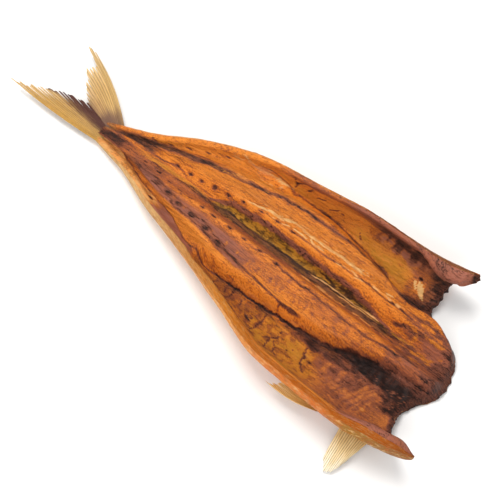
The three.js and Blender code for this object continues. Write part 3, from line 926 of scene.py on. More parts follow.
    def head_end(self) -> list[Mark]:
        """The browner flesh just behind the cut at the head end, and the dark root of the tail."""
        return [
            Mark(Zone(-16, 13, (218, 262), 3, 9), 0.46, 0.85, pink=0.6, by=Patches(9, 4, 0.4, 41)),
            Mark(Zone(-6, 12, (214, 244), 2, 7), 0.9, 0.7, gold=0.5, fat=0.15, by=Patches(5, 2.2, 1.0, 82)),
            Mark(Zone(-18, 20, (212, 262), 2, 8), 0.2, 0.7, pink=0.3, by=Patches(6, 1.6, 1.0, 83)),
            Mark(Zone(-18, 6, (239, 262), 2, 4), 0.24, 0.92, pink=0.3, by=Patches(6, 4, 0.3, 42)),
            Mark(Zone(4, 18, (243, 262), 2, 3), 0.5, 0.8, pink=0.4, by=Patches(6, 4, 0.35, 42)),
            Mark(Zone(2.0, 30, (-30, 0), 1.0, 3), 0.9, 0.9, fat=0.3, grey=0.9, by=Patches(9, 1.5, 0.3, 76)),
            Mark(Zone(-3.4, 2.0, (-30, 12), 1.0, 4), 0.14, 0.92, grey=0.2, by=Patches(9, 1.6, 0.35, 77)),
        ]

    def paint(self, x: Array, s: Array) -> tuple[dict[Tint, Array], Array]:
        """Lay all marks.

        Args:
            x: Stations of the places.
            s: Arcs of the places.

        Returns:
            The colour layers, and the relief in millimetres.
        """
        x, s = x + self.sway_x.at(x, s), s + self.sway_s.at(x, s)
        layers = {tint: np.zeros(x.shape) for tint in Tint}
        layers[Tint.TONE] += self.plain_tone
        relief = np.zeros(x.shape)
        for mark in self.marks():
            mark.lay(layers, relief, x, s)
        return layers, relief


# ---------------------------------------------------------------------------------------------------
# Finishes


def pigment(red: float, green: float, blue: float) -> tuple[float, float, float, float]:
    """Turn a colour in everyday 0 to 255 numbers into a scene colour."""
    linear = [((c / 255 + 0.055) / 1.055) ** 2.4 if c > 10 else c / 255 / 12.92 for c in (red, green, blue)]
    return (linear[0], linear[1], linear[2], 1.0)


@dataclass(frozen=True)
class Noise:
    """Random numbers over a piece: cells in each millimetre along, across and deep, and their finish."""

    stretch: Triple
    detail: float = 3.0
    sway: float = 0.0
    roughness: float = 0.6


@dataclass(frozen=True)
class Shine:
    """How a finish takes light: its shine, how deep light goes in, and its coat of oil."""

    specular: float
    depth_share: float = 0.0
    depth_colours: Triple = (1.0, 0.2, 0.1)
    depth: float = 1.0
    coat: float = 0.0
    coat_roughness: float = 0.28


class NodeBench:
    """A workbench for one material: short ways to add the nodes that the finishes share."""

    def __init__(self, name: str) -> None:
        """Start a material with its shader, named as given."""
        self.material = bpy.data.materials.new(name)
        self.material.use_nodes = True
        self.tree = self.material.node_tree
        self.shader = self.tree.nodes["Principled BSDF"]

    def put(self, target: Socket, value: object) -> None:
        """Set a socket, or link it when the value is another socket."""
        if isinstance(value, bpy.types.NodeSocket):
            self.tree.links.new(value, target)
        else:
            target.default_value = value

    def layer(self, name: str) -> Socket:
        """One number of the mesh, by its layer's name."""
        node = self.tree.nodes.new("ShaderNodeAttribute")
        node.attribute_name = name
        return node.outputs["Fac"]

    def flow(self, stretch: Sequence[float]) -> Socket:
        """The station, arc and depth of a place, each multiplied by a number."""
        node = self.tree.nodes.new("ShaderNodeAttribute")
        node.attribute_name = "flow"
        scaled = self.tree.nodes.new("ShaderNodeVectorMath")
        scaled.operation = "MULTIPLY"
        self.put(scaled.inputs[0], node.outputs["Vector"])
        scaled.inputs[1].default_value = tuple(stretch)
        return scaled.outputs["Vector"]

    def noise(self, recipe: Noise) -> Socket:
        """Random numbers around 0.5 over the flow of the piece."""
        node = self.tree.nodes.new("ShaderNodeTexNoise")
        self.put(node.inputs["Vector"], self.flow(recipe.stretch))
        node.inputs["Scale"].default_value = 1.0
        node.inputs["Detail"].default_value = recipe.detail
        node.inputs["Roughness"].default_value = recipe.roughness
        node.inputs["Distortion"].default_value = recipe.sway
        return node.outputs["Fac"]

    def maths(self, operation: str, first: object, second: object = 0.0, third: object = 0.0) -> Socket:
        """One step of arithmetic on up to three numbers, by the operation's name."""
        node = self.tree.nodes.new("ShaderNodeMath")
        node.operation = operation
        for socket, value in zip(node.inputs, (first, second, third)):
            self.put(socket, value)
        return node.outputs[0]

    def times(self, first: object, second: object) -> Socket:
        """Two numbers multiplied."""
        return self.maths("MULTIPLY", first, second)

    def add(self, base: object, source: object, strength: object) -> Socket:
        """A number with another one added at some strength."""
        return self.maths("MULTIPLY_ADD", source, strength, base)

    def centred(self, source: Socket) -> Socket:
        """Random numbers around 0 in place of 0.5."""
        return self.maths("SUBTRACT", source, 0.5)

    def vary(self, base: object, source: Socket, strength: object) -> Socket:
        """A number shaken by random numbers at some strength."""
        return self.add(base, self.centred(source), strength)

    def rise(self, value: Socket, low: float, high: float) -> Socket:
        """A smooth rise from 0 at low to 1 at high."""
        node = self.tree.nodes.new("ShaderNodeMapRange")
        node.interpolation_type = "SMOOTHSTEP"
        self.put(node.inputs["Value"], value)
        node.inputs["From Min"].default_value = low
        node.inputs["From Max"].default_value = high
        return node.outputs["Result"]

    def blend(self, share: object, first: object, second: object) -> Socket:
        """Mix two colours by a share."""
        node = self.tree.nodes.new("ShaderNodeMix")
        node.data_type = "RGBA"
        for name, value in (("Factor_Float", share), ("A_Color", first), ("B_Color", second)):
            self.put(next(i for i in node.inputs if i.identifier == name), value)
        return next(o for o in node.outputs if o.identifier == "Result_Color")

    def ramp(self, value: Socket, stops: Stops) -> Socket:
        """Colours along a scale.

        Args:
            value: Where on the scale each place is.
            stops: Place on the scale and colour, in 0 to 255 numbers.

        Returns:
            The socket of the colour.
        """
        node = self.tree.nodes.new("ShaderNodeValToRGB")
        self.put(node.inputs["Fac"], value)
        elements = node.color_ramp.elements
        while len(elements) < len(stops):
            elements.new(0.5)
        for element, (place, colour) in zip(elements, stops):
            element.position = place
            element.color = pigment(*colour)
        return node.outputs["Color"]

    def dress(self, colour: Socket, roughness: Socket, shine: Shine) -> None:
        """Give the shader its colour, its roughness and the way it takes light."""
        inputs = self.shader.inputs
        self.put(inputs["Base Color"], colour)
        self.put(inputs["Roughness"], roughness)
        inputs["Specular IOR Level"].default_value = shine.specular
        if shine.depth_share > 0:
            inputs["Subsurface Weight"].default_value = shine.depth_share
            inputs["Subsurface Radius"].default_value = shine.depth_colours
            inputs["Subsurface Scale"].default_value = shine.depth * MILLIMETRE
        if shine.coat > 0:
            inputs["Coat Weight"].default_value = shine.coat
            inputs["Coat Roughness"].default_value = shine.coat_roughness

    def relief(self, heights: Sequence[tuple[Socket, float]], distance: float) -> None:
        """Give the shader a fine relief from several heights, each with its strength."""
        total: object = 0.0
        for height, strength in heights:
            total = self.add(total, height, strength)
        node = self.tree.nodes.new("ShaderNodeBump")
        node.inputs["Strength"].default_value = 1.0
        node.inputs["Distance"].default_value = distance * MILLIMETRE
        self.put(node.inputs["Height"], total)
        self.put(self.shader.inputs["Normal"], node.outputs["Normal"])


@dataclass(frozen=True)
class FleshFinish:
    """Smoked, oiled flesh: a scale from near black to bright orange, with fat, gold, mauve and grey on it."""

    scale: Stops = (
        (0.0, (24, 13, 11)), (0.12, (58, 31, 23)), (0.28, (98, 53, 37)), (0.45, (138, 75, 48)),
        (0.62, (171, 91, 40)), (0.8, (206, 112, 34)), (1.0, (232, 138, 48)))
    pink: Colour = (162, 98, 78)
    gold: Colour = (190, 132, 40)
    fat: Colour = (236, 184, 118)
    grey: Colour = (104, 76, 54)
    dark_gold: Colour = (60, 44, 18)
    dark_grey: Colour = (46, 34, 28)
    fibre: Noise = Noise((0.06, 0.7, 0.4), 4.0, 0.4)
    fine: Noise = Noise((0.28, 2.6, 1.2), 3.0, 0.3)
    blotch: Noise = Noise((0.09, 0.13, 0.1), 3.0, 0.6)
    grit: Noise = Noise((1.1, 1.7, 1.5), 2.0)
    veins: Noise = Noise((0.22, 0.3, 0.2), 5.0, 1.2)
    threads: Noise = Noise((0.05, 0.5, 0.4), 3.0, 0.5)
    fibre_tone: float = 0.28
    fine_tone: float = 0.56
    blotch_tone: float = 0.16
    vein_tone: float = 0.18
    thread_tone: float = -0.55
    thread_half: float = 0.03
    film_calm: float = -0.75
    least_grit: float = 0.35
    border_grit: float = 0.6
    border_fine: float = 0.4
    lit: Pair = (0.1, 0.75)
    pink_lit: Pair = (0.0, 0.5)
    pink_border: Triple = (0.0, 0.9, 0.3)
    gold_border: Triple = (0.0, 1.1, 0.3)
    grey_border: Triple = (0.0, 1.2, 0.3)
    fat_border: Triple = (0.15, 0.85, 0.35)
    grey_share: float = 0.8
    gloss: float = 0.24
    blotch_gloss: float = 0.3
    fine_gloss: float = 0.22
    shine: Shine = Shine(0.2, 0.06, (1.0, 0.4, 0.15), 1.5, 0.04, 0.28)
    relief_strengths: tuple[float, ...] = (1.0, 0.9, 0.8, -0.25, 0.6)
    relief_depth: float = 0.8

    def make(self) -> bpy.types.Material:
        """Build the material.

        Returns:
            The material of the flesh.
        """
        bench = NodeBench("smoked_flesh")
        fibre, fine, blotch = bench.noise(self.fibre), bench.noise(self.fine), bench.noise(self.blotch)
        grit, veins = bench.noise(self.grit), bench.noise(self.veins)
        bare = bench.add(1.0, bench.layer("film"), self.film_calm)
        tone = bench.layer(Tint.TONE.value)
        tone = bench.add(tone, bench.times(bench.centred(fibre), bare), self.fibre_tone)
        tone = bench.add(tone, bench.times(bench.centred(fine), bare), self.fine_tone)
        tone = bench.vary(tone, blotch, self.blotch_tone)
        tone = bench.vary(tone, veins, self.vein_tone)
        tone = bench.vary(tone, grit, bench.add(self.least_grit, tone, 1.0))
        wander = bench.maths("ABSOLUTE", bench.centred(bench.noise(self.threads)))
        thread = bench.rise(wander, self.thread_half, 0.0)
        tone = bench.add(tone, bench.times(thread, blotch), self.thread_tone)
        border = bench.add(bench.times(fine, self.border_fine), grit, self.border_grit)

        def share(name: Tint, low: float, high: float, ragged: float) -> Socket:
            """A layer with its border made ragged by the fine fibres."""
            rough = bench.add(bench.layer(name.value), border, ragged)
            return bench.rise(rough, low + ragged / 2, high + ragged / 2)

        lit = bench.rise(tone, *self.lit)
        pink = bench.times(share(Tint.PINK, *self.pink_border), bench.rise(tone, *self.pink_lit))
        gold = bench.blend(lit, pigment(*self.dark_gold), pigment(*self.gold))
        grey = bench.blend(lit, pigment(*self.dark_grey), pigment(*self.grey))
        colour = bench.blend(pink, bench.ramp(tone, self.scale), pigment(*self.pink))
        colour = bench.blend(share(Tint.GOLD, *self.gold_border), colour, gold)
        colour = bench.blend(bench.times(share(Tint.GREY, *self.grey_border), self.grey_share), colour, grey)
        colour = bench.blend(share(Tint.FAT, *self.fat_border), colour, pigment(*self.fat))
        gloss = bench.add(bench.add(self.gloss, blotch, self.blotch_gloss), fine, self.fine_gloss)
        bench.dress(colour, gloss, self.shine)
        bench.relief(list(zip((fibre, fine, grit, thread, veins), self.relief_strengths)), self.relief_depth)
        return bench.material


@dataclass(frozen=True)
class SkinFinish:
    """Smoked skin: golden along the belly edge and bronze on the back, with fine scale marks."""

    edge: Stops = (
        (0.0, (200, 158, 96)), (0.2, (226, 182, 124)), (0.36, (214, 150, 84)), (0.52, (224, 132, 34)),
        (0.68, (212, 106, 14)), (0.82, (212, 104, 12)), (0.93, (208, 106, 24)), (1.0, (170, 84, 30)))
    flank: Stops = (
        (0.0, (200, 158, 96)), (0.2, (224, 180, 120)), (0.36, (212, 146, 80)), (0.52, (226, 150, 58)),
        (0.68, (212, 116, 26)), (0.8, (200, 102, 10)), (0.88, (150, 104, 34)), (1.0, (136, 84, 30)))
    back: Colour = (92, 66, 42)
    pale: Colour = (240, 198, 136)
    deep: Colour = (196, 92, 18)
    far_rim: Colour = (140, 80, 56)
    dirt: Colour = (140, 84, 44)
    scale_line: Colour = (120, 76, 40)
    blotch: Noise = Noise((0.1, 0.14, 0.1), 4.0, 0.5)
    fine: Noise = Noise((0.9, 0.9, 0.9))
    mottle: Noise = Noise((0.22, 0.4, 0.3), 4.0, 0.6)
    smears: Noise = Noise((0.2, 0.25, 0.2))
    scale_cells: Triple = (0.45, 0.62, 0.5)
    place_shift: float = 0.16
    turned_shift: float = 0.8
    far_shift: float = 0.6
    back_shift: float = 0.5
    turned_rise: Pair = (0.3, 0.7)
    far_rise: Pair = (0.2, 0.8)
    back_rise: Pair = (0.45, 1.1)
    mottle_fine: float = 0.45
    pale_rise: Pair = (0.74, 0.9)
    pale_share: float = 0.75
    deep_rise: Pair = (0.7, 0.54)
    deep_share: float = 0.62
    dirt_fine: float = 0.5
    dirt_rise: Pair = (0.72, 0.98)
    dirt_share: float = 0.6
    scale_rim: float = 0.16
    scale_share: float = 0.22
    gloss: float = 0.25
    fine_gloss: float = 0.3
    shine: Shine = Shine(0.06)
    relief_strengths: tuple[float, ...] = (0.4, 0.5, 0.8)
    relief_depth: float = 0.35

    def make(self) -> bpy.types.Material:
        """Build the material.

        Returns:
            The material of the skin.
        """
        bench = NodeBench("smoked_skin")
        blotch, fine = bench.noise(self.blotch), bench.noise(self.fine)
        place = bench.add(bench.layer("station"), blotch, self.place_shift)
        place = bench.maths("SUBTRACT", place, self.place_shift / 2)
        turned = bench.rise(bench.vary(bench.layer("turned"), blotch, self.turned_shift), *self.turned_rise)
        colour = bench.blend(turned, bench.ramp(place, self.flank), bench.ramp(place, self.edge))
        far = bench.rise(bench.vary(bench.layer("far"), blotch, self.far_shift), *self.far_rise)
        back = bench.rise(bench.add(bench.layer("back"), blotch, self.back_shift), *self.back_rise)
        mottle = bench.add(bench.noise(self.mottle), fine, self.mottle_fine)
        smears = bench.add(bench.noise(self.smears), fine, self.dirt_fine)
        rim = bench.rise(self.scale_edges(bench), 0.0, self.scale_rim)
        for share, paint in (
                (far, self.far_rim), (back, self.back),
                (bench.times(bench.rise(mottle, *self.pale_rise), self.pale_share), self.pale),
                (bench.times(bench.rise(mottle, *self.deep_rise), self.deep_share), self.deep),
                (bench.times(bench.rise(smears, *self.dirt_rise), self.dirt_share), self.dirt),
                (bench.add(self.scale_share, rim, -self.scale_share), self.scale_line)):
            colour = bench.blend(share, colour, pigment(*paint))
        bench.dress(colour, bench.add(self.gloss, fine, self.fine_gloss), self.shine)
        bench.relief(list(zip((rim, fine, blotch), self.relief_strengths)), self.relief_depth)
        return bench.material

    def scale_edges(self, bench: NodeBench) -> Socket:
        """How far each place is from the edge of its scale."""
        scales = bench.tree.nodes.new("ShaderNodeTexVoronoi")
        scales.feature = "DISTANCE_TO_EDGE"
        scales.inputs["Scale"].default_value = 1.0
        bench.put(scales.inputs["Vector"], bench.flow(self.scale_cells))
        return scales.outputs["Distance"]


@dataclass(frozen=True)
class FinFinish:
    """Dried fin: rays over thin film, in three colours over the layer that the fin calls its shade."""

    name: str
    first: Colour
    middle: Colour
    last: Colour
    gap: Colour
    stain: Colour
    tip: Colour
    streak: Noise = Noise((0.05, 1.5, 0.5), 4.0, 0.2)
    fine: Noise = Noise((0.35, 3.0, 1.0))
    blotch: Noise = Noise((0.14, 0.3, 0.2), 3.0, 0.4)
    streak_shade: float = 1.1
    blotch_shade: float = 0.7
    tip_shift: float = 0.9
    tip_rise: Pair = (0.6, 1.15)
    gap_shift: float = 1.6
    gap_rise: Pair = (0.3, 1.05)
    gap_share: float = 0.8
    stain_shift: float = 0.8
    stain_rise: Pair = (0.3, 0.9)
    gloss: float = 0.4
    fine_gloss: float = 0.25
    shine: Shine = Shine(0.25, 0.08, (1.0, 0.6, 0.3), 1.0)
    relief_strengths: tuple[float, ...] = (0.8, 0.8, 0.6)
    relief_depth: float = 0.5

    def make(self) -> bpy.types.Material:
        """Build the material.

        Returns:
            The material of one fin.
        """
        bench = NodeBench(self.name)
        streak, fine, blotch = bench.noise(self.streak), bench.noise(self.fine), bench.noise(self.blotch)
        shade = bench.vary(bench.layer("shade"), streak, self.streak_shade)
        shade = bench.vary(shade, blotch, self.blotch_shade)
        colour = bench.ramp(shade, ((0.0, self.first), (0.5, self.middle), (1.0, self.last)))
        pale = bench.rise(bench.vary(bench.layer("out"), streak, self.tip_shift), *self.tip_rise)
        colour = bench.blend(pale, colour, pigment(*self.tip))
        ray = bench.layer("ray")
        dark = bench.rise(bench.vary(bench.maths("SUBTRACT", 1.0, ray), fine, self.gap_shift), *self.gap_rise)
        colour = bench.blend(bench.times(dark, self.gap_share), colour, pigment(*self.gap))
        stain = bench.rise(bench.vary(bench.layer("stain"), streak, self.stain_shift), *self.stain_rise)
        colour = bench.blend(stain, colour, pigment(*self.stain))
        bench.dress(colour, bench.add(self.gloss, fine, self.fine_gloss), self.shine)
        bench.relief(list(zip((ray, streak, fine), self.relief_strengths)), self.relief_depth)
        return bench.material


# ---------------------------------------------------------------------------------------------------
# Meshes


CROWN = 29.4
CROWN_GIVE = 0.5
STATION_POWER = 1.03


class MaterialSlot(Enum):
    """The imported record's material slots."""

    FLESH = "flesh"
    SKIN = "skin"
    FIN = "fin"


@dataclass
class Piece:
    """One mesh of the visible fish, collected point by point and face by face."""

    name: str
    points: Array
    faces: Faces
    flow: Array
    layers: dict[str, Array]

    def make(self, material: bpy.types.Material, slot: MaterialSlot) -> bpy.types.Object:
        """Make the mesh, dress it and put it on the frame.

        Args:
            material: The finish of the piece.
            slot: The record's slot for it; not used.

        Returns:
            The object, riding on the fish's one body.
        """
        mesh = bpy.data.meshes.new(self.name)
        low = np.array(cad_low) / MILLIMETRE
        high = np.array(cad_high) / MILLIMETRE
        height = self.points[:, 2]
        settled = self.points.copy()
        settled[:, 2] = np.minimum(height, mix(height, CROWN, CROWN_GIVE))
        inside = np.clip(settled, low, high)
        mesh.from_pydata((inside * MILLIMETRE).tolist(), [], self.faces)
        mesh.polygons.foreach_set("use_smooth", np.ones(len(mesh.polygons), bool))
        flow = mesh.attributes.new("flow", "FLOAT_VECTOR", "POINT")
        flow.data.foreach_set("vector", self.flow.astype(np.float32).ravel())
        for name, values in self.layers.items():
            layer = mesh.attributes.new(name, "FLOAT", "POINT")
            layer.data.foreach_set("value", values.astype(np.float32).ravel())
        mesh.materials.append(material)
        mesh.update()
        made = bpy.data.objects.new(self.name, mesh)
        bpy.context.scene.collection.objects.link(made)
        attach(made, "root")
        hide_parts("fish")
        LOG.info("%s: %d points, %d faces", self.name, len(self.points), len(self.faces))
        return made


def slope_of(ring: Array) -> Array:
    """Unit normals of a tube of points, closed round its second direction.

    Args:
        ring: Points by station and place round the tube.

    Returns:
        The outward normal of each point.
    """
    run = np.gradient(ring, axis=0)
    turn = np.roll(ring, -1, axis=1) - np.roll(ring, 1, axis=1)
    normal = np.cross(run, turn)
    return normal / np.maximum(np.linalg.norm(normal, axis=-1, keepdims=True), 1e-9)


def tube_faces(stations: int, around: int) -> Faces:
    """Faces between the rings of a tube, facing out for rings that run anticlockwise seen from its end.

    Args:
        stations: Number of rings.
        around: Points in each ring.

    Returns:
        The faces, as point numbers.
    """
    faces = []
    for i in range(stations - 1):
        for j in range(around):
            k = (j + 1) % around
            a, b = i * around, (i + 1) * around
            faces.append((a + j, b + j, b + k, a + k))
    return faces


def shell_faces(rows: int, columns: int) -> Faces:
    """Faces of a closed shell: an upper grid of points, then the same grid below it.

    Args:
        rows: Rows of the grid.
        columns: Columns of the grid.

    Returns:
        The faces, facing out where rows by columns turn anticlockwise seen from above.
    """
    total = rows * columns
    faces = []
    for i in range(rows - 1):
        for j in range(columns - 1):
            a, b = i * columns + j, (i + 1) * columns + j
            faces.append((a, b, b + 1, a + 1))
            faces.append((total + a, total + a + 1, total + b + 1, total + b))
    for j in range(columns - 1):
        last = (rows - 1) * columns + j
        faces.append((j, j + 1, total + j + 1, total + j))
        faces.append((last, total + last, total + last + 1, last + 1))
    for i in range(rows - 1):
        a, b = i * columns, (i + 1) * columns
        faces.append((a, total + a, total + b, b))
        a, b = a + columns - 1, b + columns - 1
        faces.append((a, b, total + b, total + a))
    return faces


def zip_rows(first: Sequence[int], second: Sequence[int]) -> Faces:
    """Triangles between two rows with different numbers of points.

    Args:
        first: Point numbers of one row.
        second: Point numbers of the other, in the same direction.

    Returns:
        The triangles.
    """
    faces, i, j = [], 0, 0
    while i < len(first) - 1 or j < len(second) - 1:
        ahead = (i + 1) / max(len(first) - 1, 1) <= (j + 1) / max(len(second) - 1, 1)
        if j == len(second) - 1 or (ahead and i < len(first) - 1):
            faces.append((first[i], first[i + 1], second[j]))
            i += 1
        else:
            faces.append((first[i], second[j + 1], second[j]))
            j += 1
    return faces


@dataclass(frozen=True)
class FleshBody:
    """The flesh of the whole body: one closed tube, with a rough cut at the head end."""

    form: FishForm
    marks: FleshMarks
    stations: int = 256
    lanes: int = 288
    rim_rows: int = 6
    under_lanes: int = 24
    skin_gap: float = 0.35
    rim_bulge: float = 3.0
    rim_arc: float = 0.6
    film_border: Pair = (-2.0, 3.0)
    fibre_height: float = 0.28
    membrane_height: float = 0.5
    fibre_share: float = 2.0
    band_share: float = 0.8
    band_lean: float = 0.7
    front: Pair = (185.0, 215.0)
    front_height: float = 1.8
    crease_lengths: Pair = (12.0, 5.0)
    crease_widths: Pair = (8.0, 16.0)
    crease_base: float = 0.7
    bend: Weave = Weave(61, 45.0, 30.0, 2, 6.0)
    coarse: Weave = Weave(62, 26.0, 2.2, 3, 0.62)
    fine: Weave = Weave(63, 9.0, 0.9, 2, 0.38)
    bands: Weave = Weave(64, 7.0, 16.0, 2)
    sag: Weave = Weave(66, 20.0, 14.0, 2)
    relief_below: Pair = (0.55, 1.0)
    relief_tail: float = 10.0
    relief_rim: Pair = (0.84, 0.95)
    cut_height: float = 0.17
    cut_base: float = 0.3
    cut_calm: float = 0.6
    cut_power: float = 0.7
    cut_depth: float = 8.0
    flake_length: float = 3.2
    flake_cells: float = 5.0
    edge_rag: Weave = Weave(73, 4.0, 3.0, 3, 2.5)
    edge_reach: Pair = (3.5, 7.5)
    edge_core: float = 0.35
    edge_thick: Pair = (16.0, 26.0)
    edge_flap: Pair = (56.0, 66.0)
    edge_amount: float = 0.9
    edge_flap_loss: float = 0.7
    cut_streaks: Weave = Weave(72, 2.4, 2.0)

    def shares(self) -> tuple[Array, Array, Array]:
        """Places round a ring: signed share of the width, angle round the rim, and whether it is below."""
        top = np.linspace(-1.0, 1.0, self.lanes + 1)
        rim = np.pi * np.arange(1, self.rim_rows + 1) / (self.rim_rows + 1)
        under = np.linspace(1.0, -1.0, self.under_lanes + 1)
        share = np.concatenate([top, np.ones(self.rim_rows), under, -np.ones(self.rim_rows)])
        angle = np.concatenate([np.zeros(len(top)), rim, np.full(len(under), np.pi), rim[::-1]])
        return share, angle, np.concatenate([np.zeros(len(top)), rim / np.pi, np.ones(len(under)),
                                             rim[::-1] / np.pi])

    def ring(self) -> tuple[Array, Array, Array, Array]:
        """Work out the plain tube.

        Returns:
            Its points, stations, arcs, and how far round the rim each point is, from 0 to 1.
        """
        share, angle, below = self.shares()
        step = np.linspace(0.0, 1.0, self.stations)[:, None] ** STATION_POWER
        x = mix(self.form.tail_root, self.form.cut_ends(share)[None, :], step)
        share = np.broadcast_to(share, x.shape)
        angle = np.broadcast_to(angle, x.shape)
        below = np.broadcast_to(below, x.shape)
        sign = np.where(share < 0, -1.0, 1.0)
        skin, inward, outward = self.form.section(sign, x, np.abs(share))
        depth = self.form.depth(sign, x, np.abs(share))[..., None]
        high = (depth + (depth - 2 * self.skin_gap) * np.cos(angle)[..., None]) / 2
        points = skin + inward * high + outward * (depth / self.rim_bulge) * np.sin(angle)[..., None]
        width = self.form.skin_width.at(sign, x)
        arc = share * width + sign * np.sin(angle / 2) * depth[..., 0] * self.rim_arc
        return points, x, arc, below

    def film(self, x: Array, s: Array) -> Array:
        """Where the flesh is covered by the smooth film of a belly wall, from 0 to 1."""
        edge = self.form.back_edge.at(s, x)
        inside = ease(*self.film_border, np.abs(s) - edge)
        return inside * ease(self.form.vent, self.form.cavity_full, x)

    def texture(self, x: Array, s: Array) -> Array:
        """Relief of fibres in the thick flesh and of creases in the belly walls.

        Args:
            x: Stations.
            s: Arcs.

        Returns:
            Heights in millimetres.
        """
        wall = self.film(x, s)
        across = s + self.bend.at(x, s)
        fibres = self.coarse.at(x, across) + self.fine.at(x, across)
        bands = self.bands.at(x - np.abs(s) * self.band_lean, s)
        front = ease(*self.front, x)
        folds = Weave(65, mix(*self.crease_lengths, front), mix(*self.crease_widths, front))
        creases = 1.0 - 2.0 * np.abs(folds.at(x, s))
        thick = self.fibre_height * (self.fibre_share * fibres + self.band_share * bands)
        film = self.membrane_height * (creases - self.crease_base + self.sag.at(x, s))
        return thick * (1.0 - wall) + film * wall * mix(1.0, self.front_height, front)

    def cut_rows(self, ring: Array, x: Array, arc: Array, end: int, columns: Sequence[int],
                 outward: float) -> tuple[Array, Array, Array]:
        """Rows of points over one end of the tube.

        Args:
            ring: Points of the tube.
            x: Stations of the tube's points.
            arc: Arcs of the tube's points.
            end: Row number of the end's ring.
            columns: The inner lanes that the rows cross.
            outward: 1 at the head end and -1 at the tail.

        Returns:
            The points, stations and arcs of the rows, top row first.
        """
        top = ring[end, columns]
        share = np.abs(np.linspace(-1, 1, self.lanes + 1)[columns])
        sign = np.sign(np.linspace(-1, 1, self.lanes + 1)[columns])
        skin, inward, _ = self.form.section(np.where(sign < 0, -1.0, 1.0), x[end, columns], share)
        low = skin + inward * self.skin_gap
        down = (1.0 - np.cos(np.pi * np.arange(1, self.rim_rows + 1) / (self.rim_rows + 1)))[:, None] / 2
        along_cut = arc[end, columns][None, :] / self.flake_length
        flakes = Grain(71).layered(along_cut, down * self.flake_cells, 3) * 2.0
        thick = np.linalg.norm(top - low, axis=-1)
        bulge = np.sin(np.pi * down) ** self.cut_power * (self.cut_calm + flakes) \
            * (self.cut_base + self.cut_height * thick)
        points = top[None] * (1 - down[..., None]) + low[None] * down[..., None]
        points[..., 0] += outward * bulge
        start = np.broadcast_to(x[end, columns], down.shape[:1] + (len(columns),))
        stations = start + outward * down * self.cut_depth
        arcs = np.broadcast_to(arc[end, columns], stations.shape)
        return points, stations, arcs

    def cap_faces(self, ring_start: int, rows_start: int, around: int) -> Faces:
        """Faces over one end: a grid of rows, zipped to the few lanes below.

        Args:
            ring_start: Number of the end ring's first point.
            rows_start: Number of the rows' first point.
            around: Points in a ring.

        Returns:
            The faces, facing as at the head end.
        """
        n, r, u = self.lanes, self.rim_rows, self.under_lanes
        right = [ring_start + n + 1 + k for k in range(r)]
        below = [ring_start + n + 1 + r + k for k in range(u + 1)][::-1]
        left = [ring_start + around - 1 - k for k in range(r)]
        grid = [[ring_start + j for j in range(n + 1)]]
        for k in range(r):
            grid.append([left[k], *(rows_start + k * (n - 1) + j for j in range(n - 1)), right[k]])
        faces: Faces = []
        for upper, lower in zip(grid, grid[1:]):
            faces += [(upper[j], lower[j], lower[j + 1], upper[j + 1]) for j in range(n)]
        faces += [face[::-1] for face in zip_rows(grid[-1], below)]
        return faces

    def build(self, material: bpy.types.Material) -> bpy.types.Object:
        """Build the flesh.

        Args:
            material: Its finish.

        Returns:
            The flesh as one closed mesh.
        """
        ring, x, arc, below = self.ring()
        layers, relief = self.marks.paint(x, arc)
        self.brown_edge(layers, x, arc)
        relief = (relief + self.texture(x, arc)) * (1.0 - ease(*self.relief_below, below))
        relief *= ease(self.form.tail_root, self.form.tail_root + self.relief_tail, x)
        width = self.form.skin_width.at(arc, x)
        relief = np.where(arc < 0, relief * (1.0 - ease(*self.relief_rim, -arc / width)), relief)
        ring = ring + slope_of(ring) * relief[..., None]
        around, columns = ring.shape[1], np.arange(1, self.lanes)
        parts = [ring.reshape(-1, 3)]
        flows = [np.stack([x, arc, below * 4], -1).reshape(-1, 3)]
        painted = [{tint: values.ravel() for tint, values in layers.items()}]
        faces = tube_faces(self.stations, around)
        for end, outward in ((0, -1.0), (self.stations - 1, 1.0)):
            start = sum(len(part) for part in parts)
            rows, row_x, row_s = self.cut_rows(ring, x, arc, end, columns, outward)
            cap = self.cap_faces(end * around, start, around)
            faces += cap if outward > 0 else [face[::-1] for face in cap]
            parts.append(rows.reshape(-1, 3))
            deep = (row_x - x[end, columns]) * outward
            flows.append(np.stack([row_x, row_s, deep * 2.0], -1).reshape(-1, 3))
            painted.append(self.cut_paint(row_x.ravel(), row_s.ravel(), deep.ravel()))
        names = {tint.value: np.concatenate([p[tint] for p in painted]) for tint in Tint}
        spread = np.concatenate([flow[:, 1] for flow in flows])
        station = np.concatenate([flow[:, 0] for flow in flows])
        names["film"] = self.film(station, spread)
        return Piece("flesh", np.concatenate(parts), faces, np.concatenate(flows), names).make(
            material, MaterialSlot.FLESH)

    def brown_edge(self, layers: dict[Tint, Array], x: Array, arc: Array) -> None:
        """Darken the dried flesh along the head cut, changing the colour layers in place."""
        thick = 1.0 - ease(*self.edge_thick, np.abs(arc))
        reach = mix(*self.edge_reach, thick)
        from_end = x[-1][None, :] - x + self.edge_rag.at(x, arc)
        close = 1.0 - ease(self.edge_core * reach, reach, from_end)
        close = self.edge_amount * close * (1.0 - self.edge_flap_loss * ease(*self.edge_flap, np.abs(arc)))
        dried = {Tint.TONE: 0.2, Tint.PINK: 0.35, Tint.GOLD: 0.0, Tint.FAT: 0.0, Tint.GREY: 0.15}
        for tint, value in dried.items():
            layers[tint] += (value - layers[tint]) * close

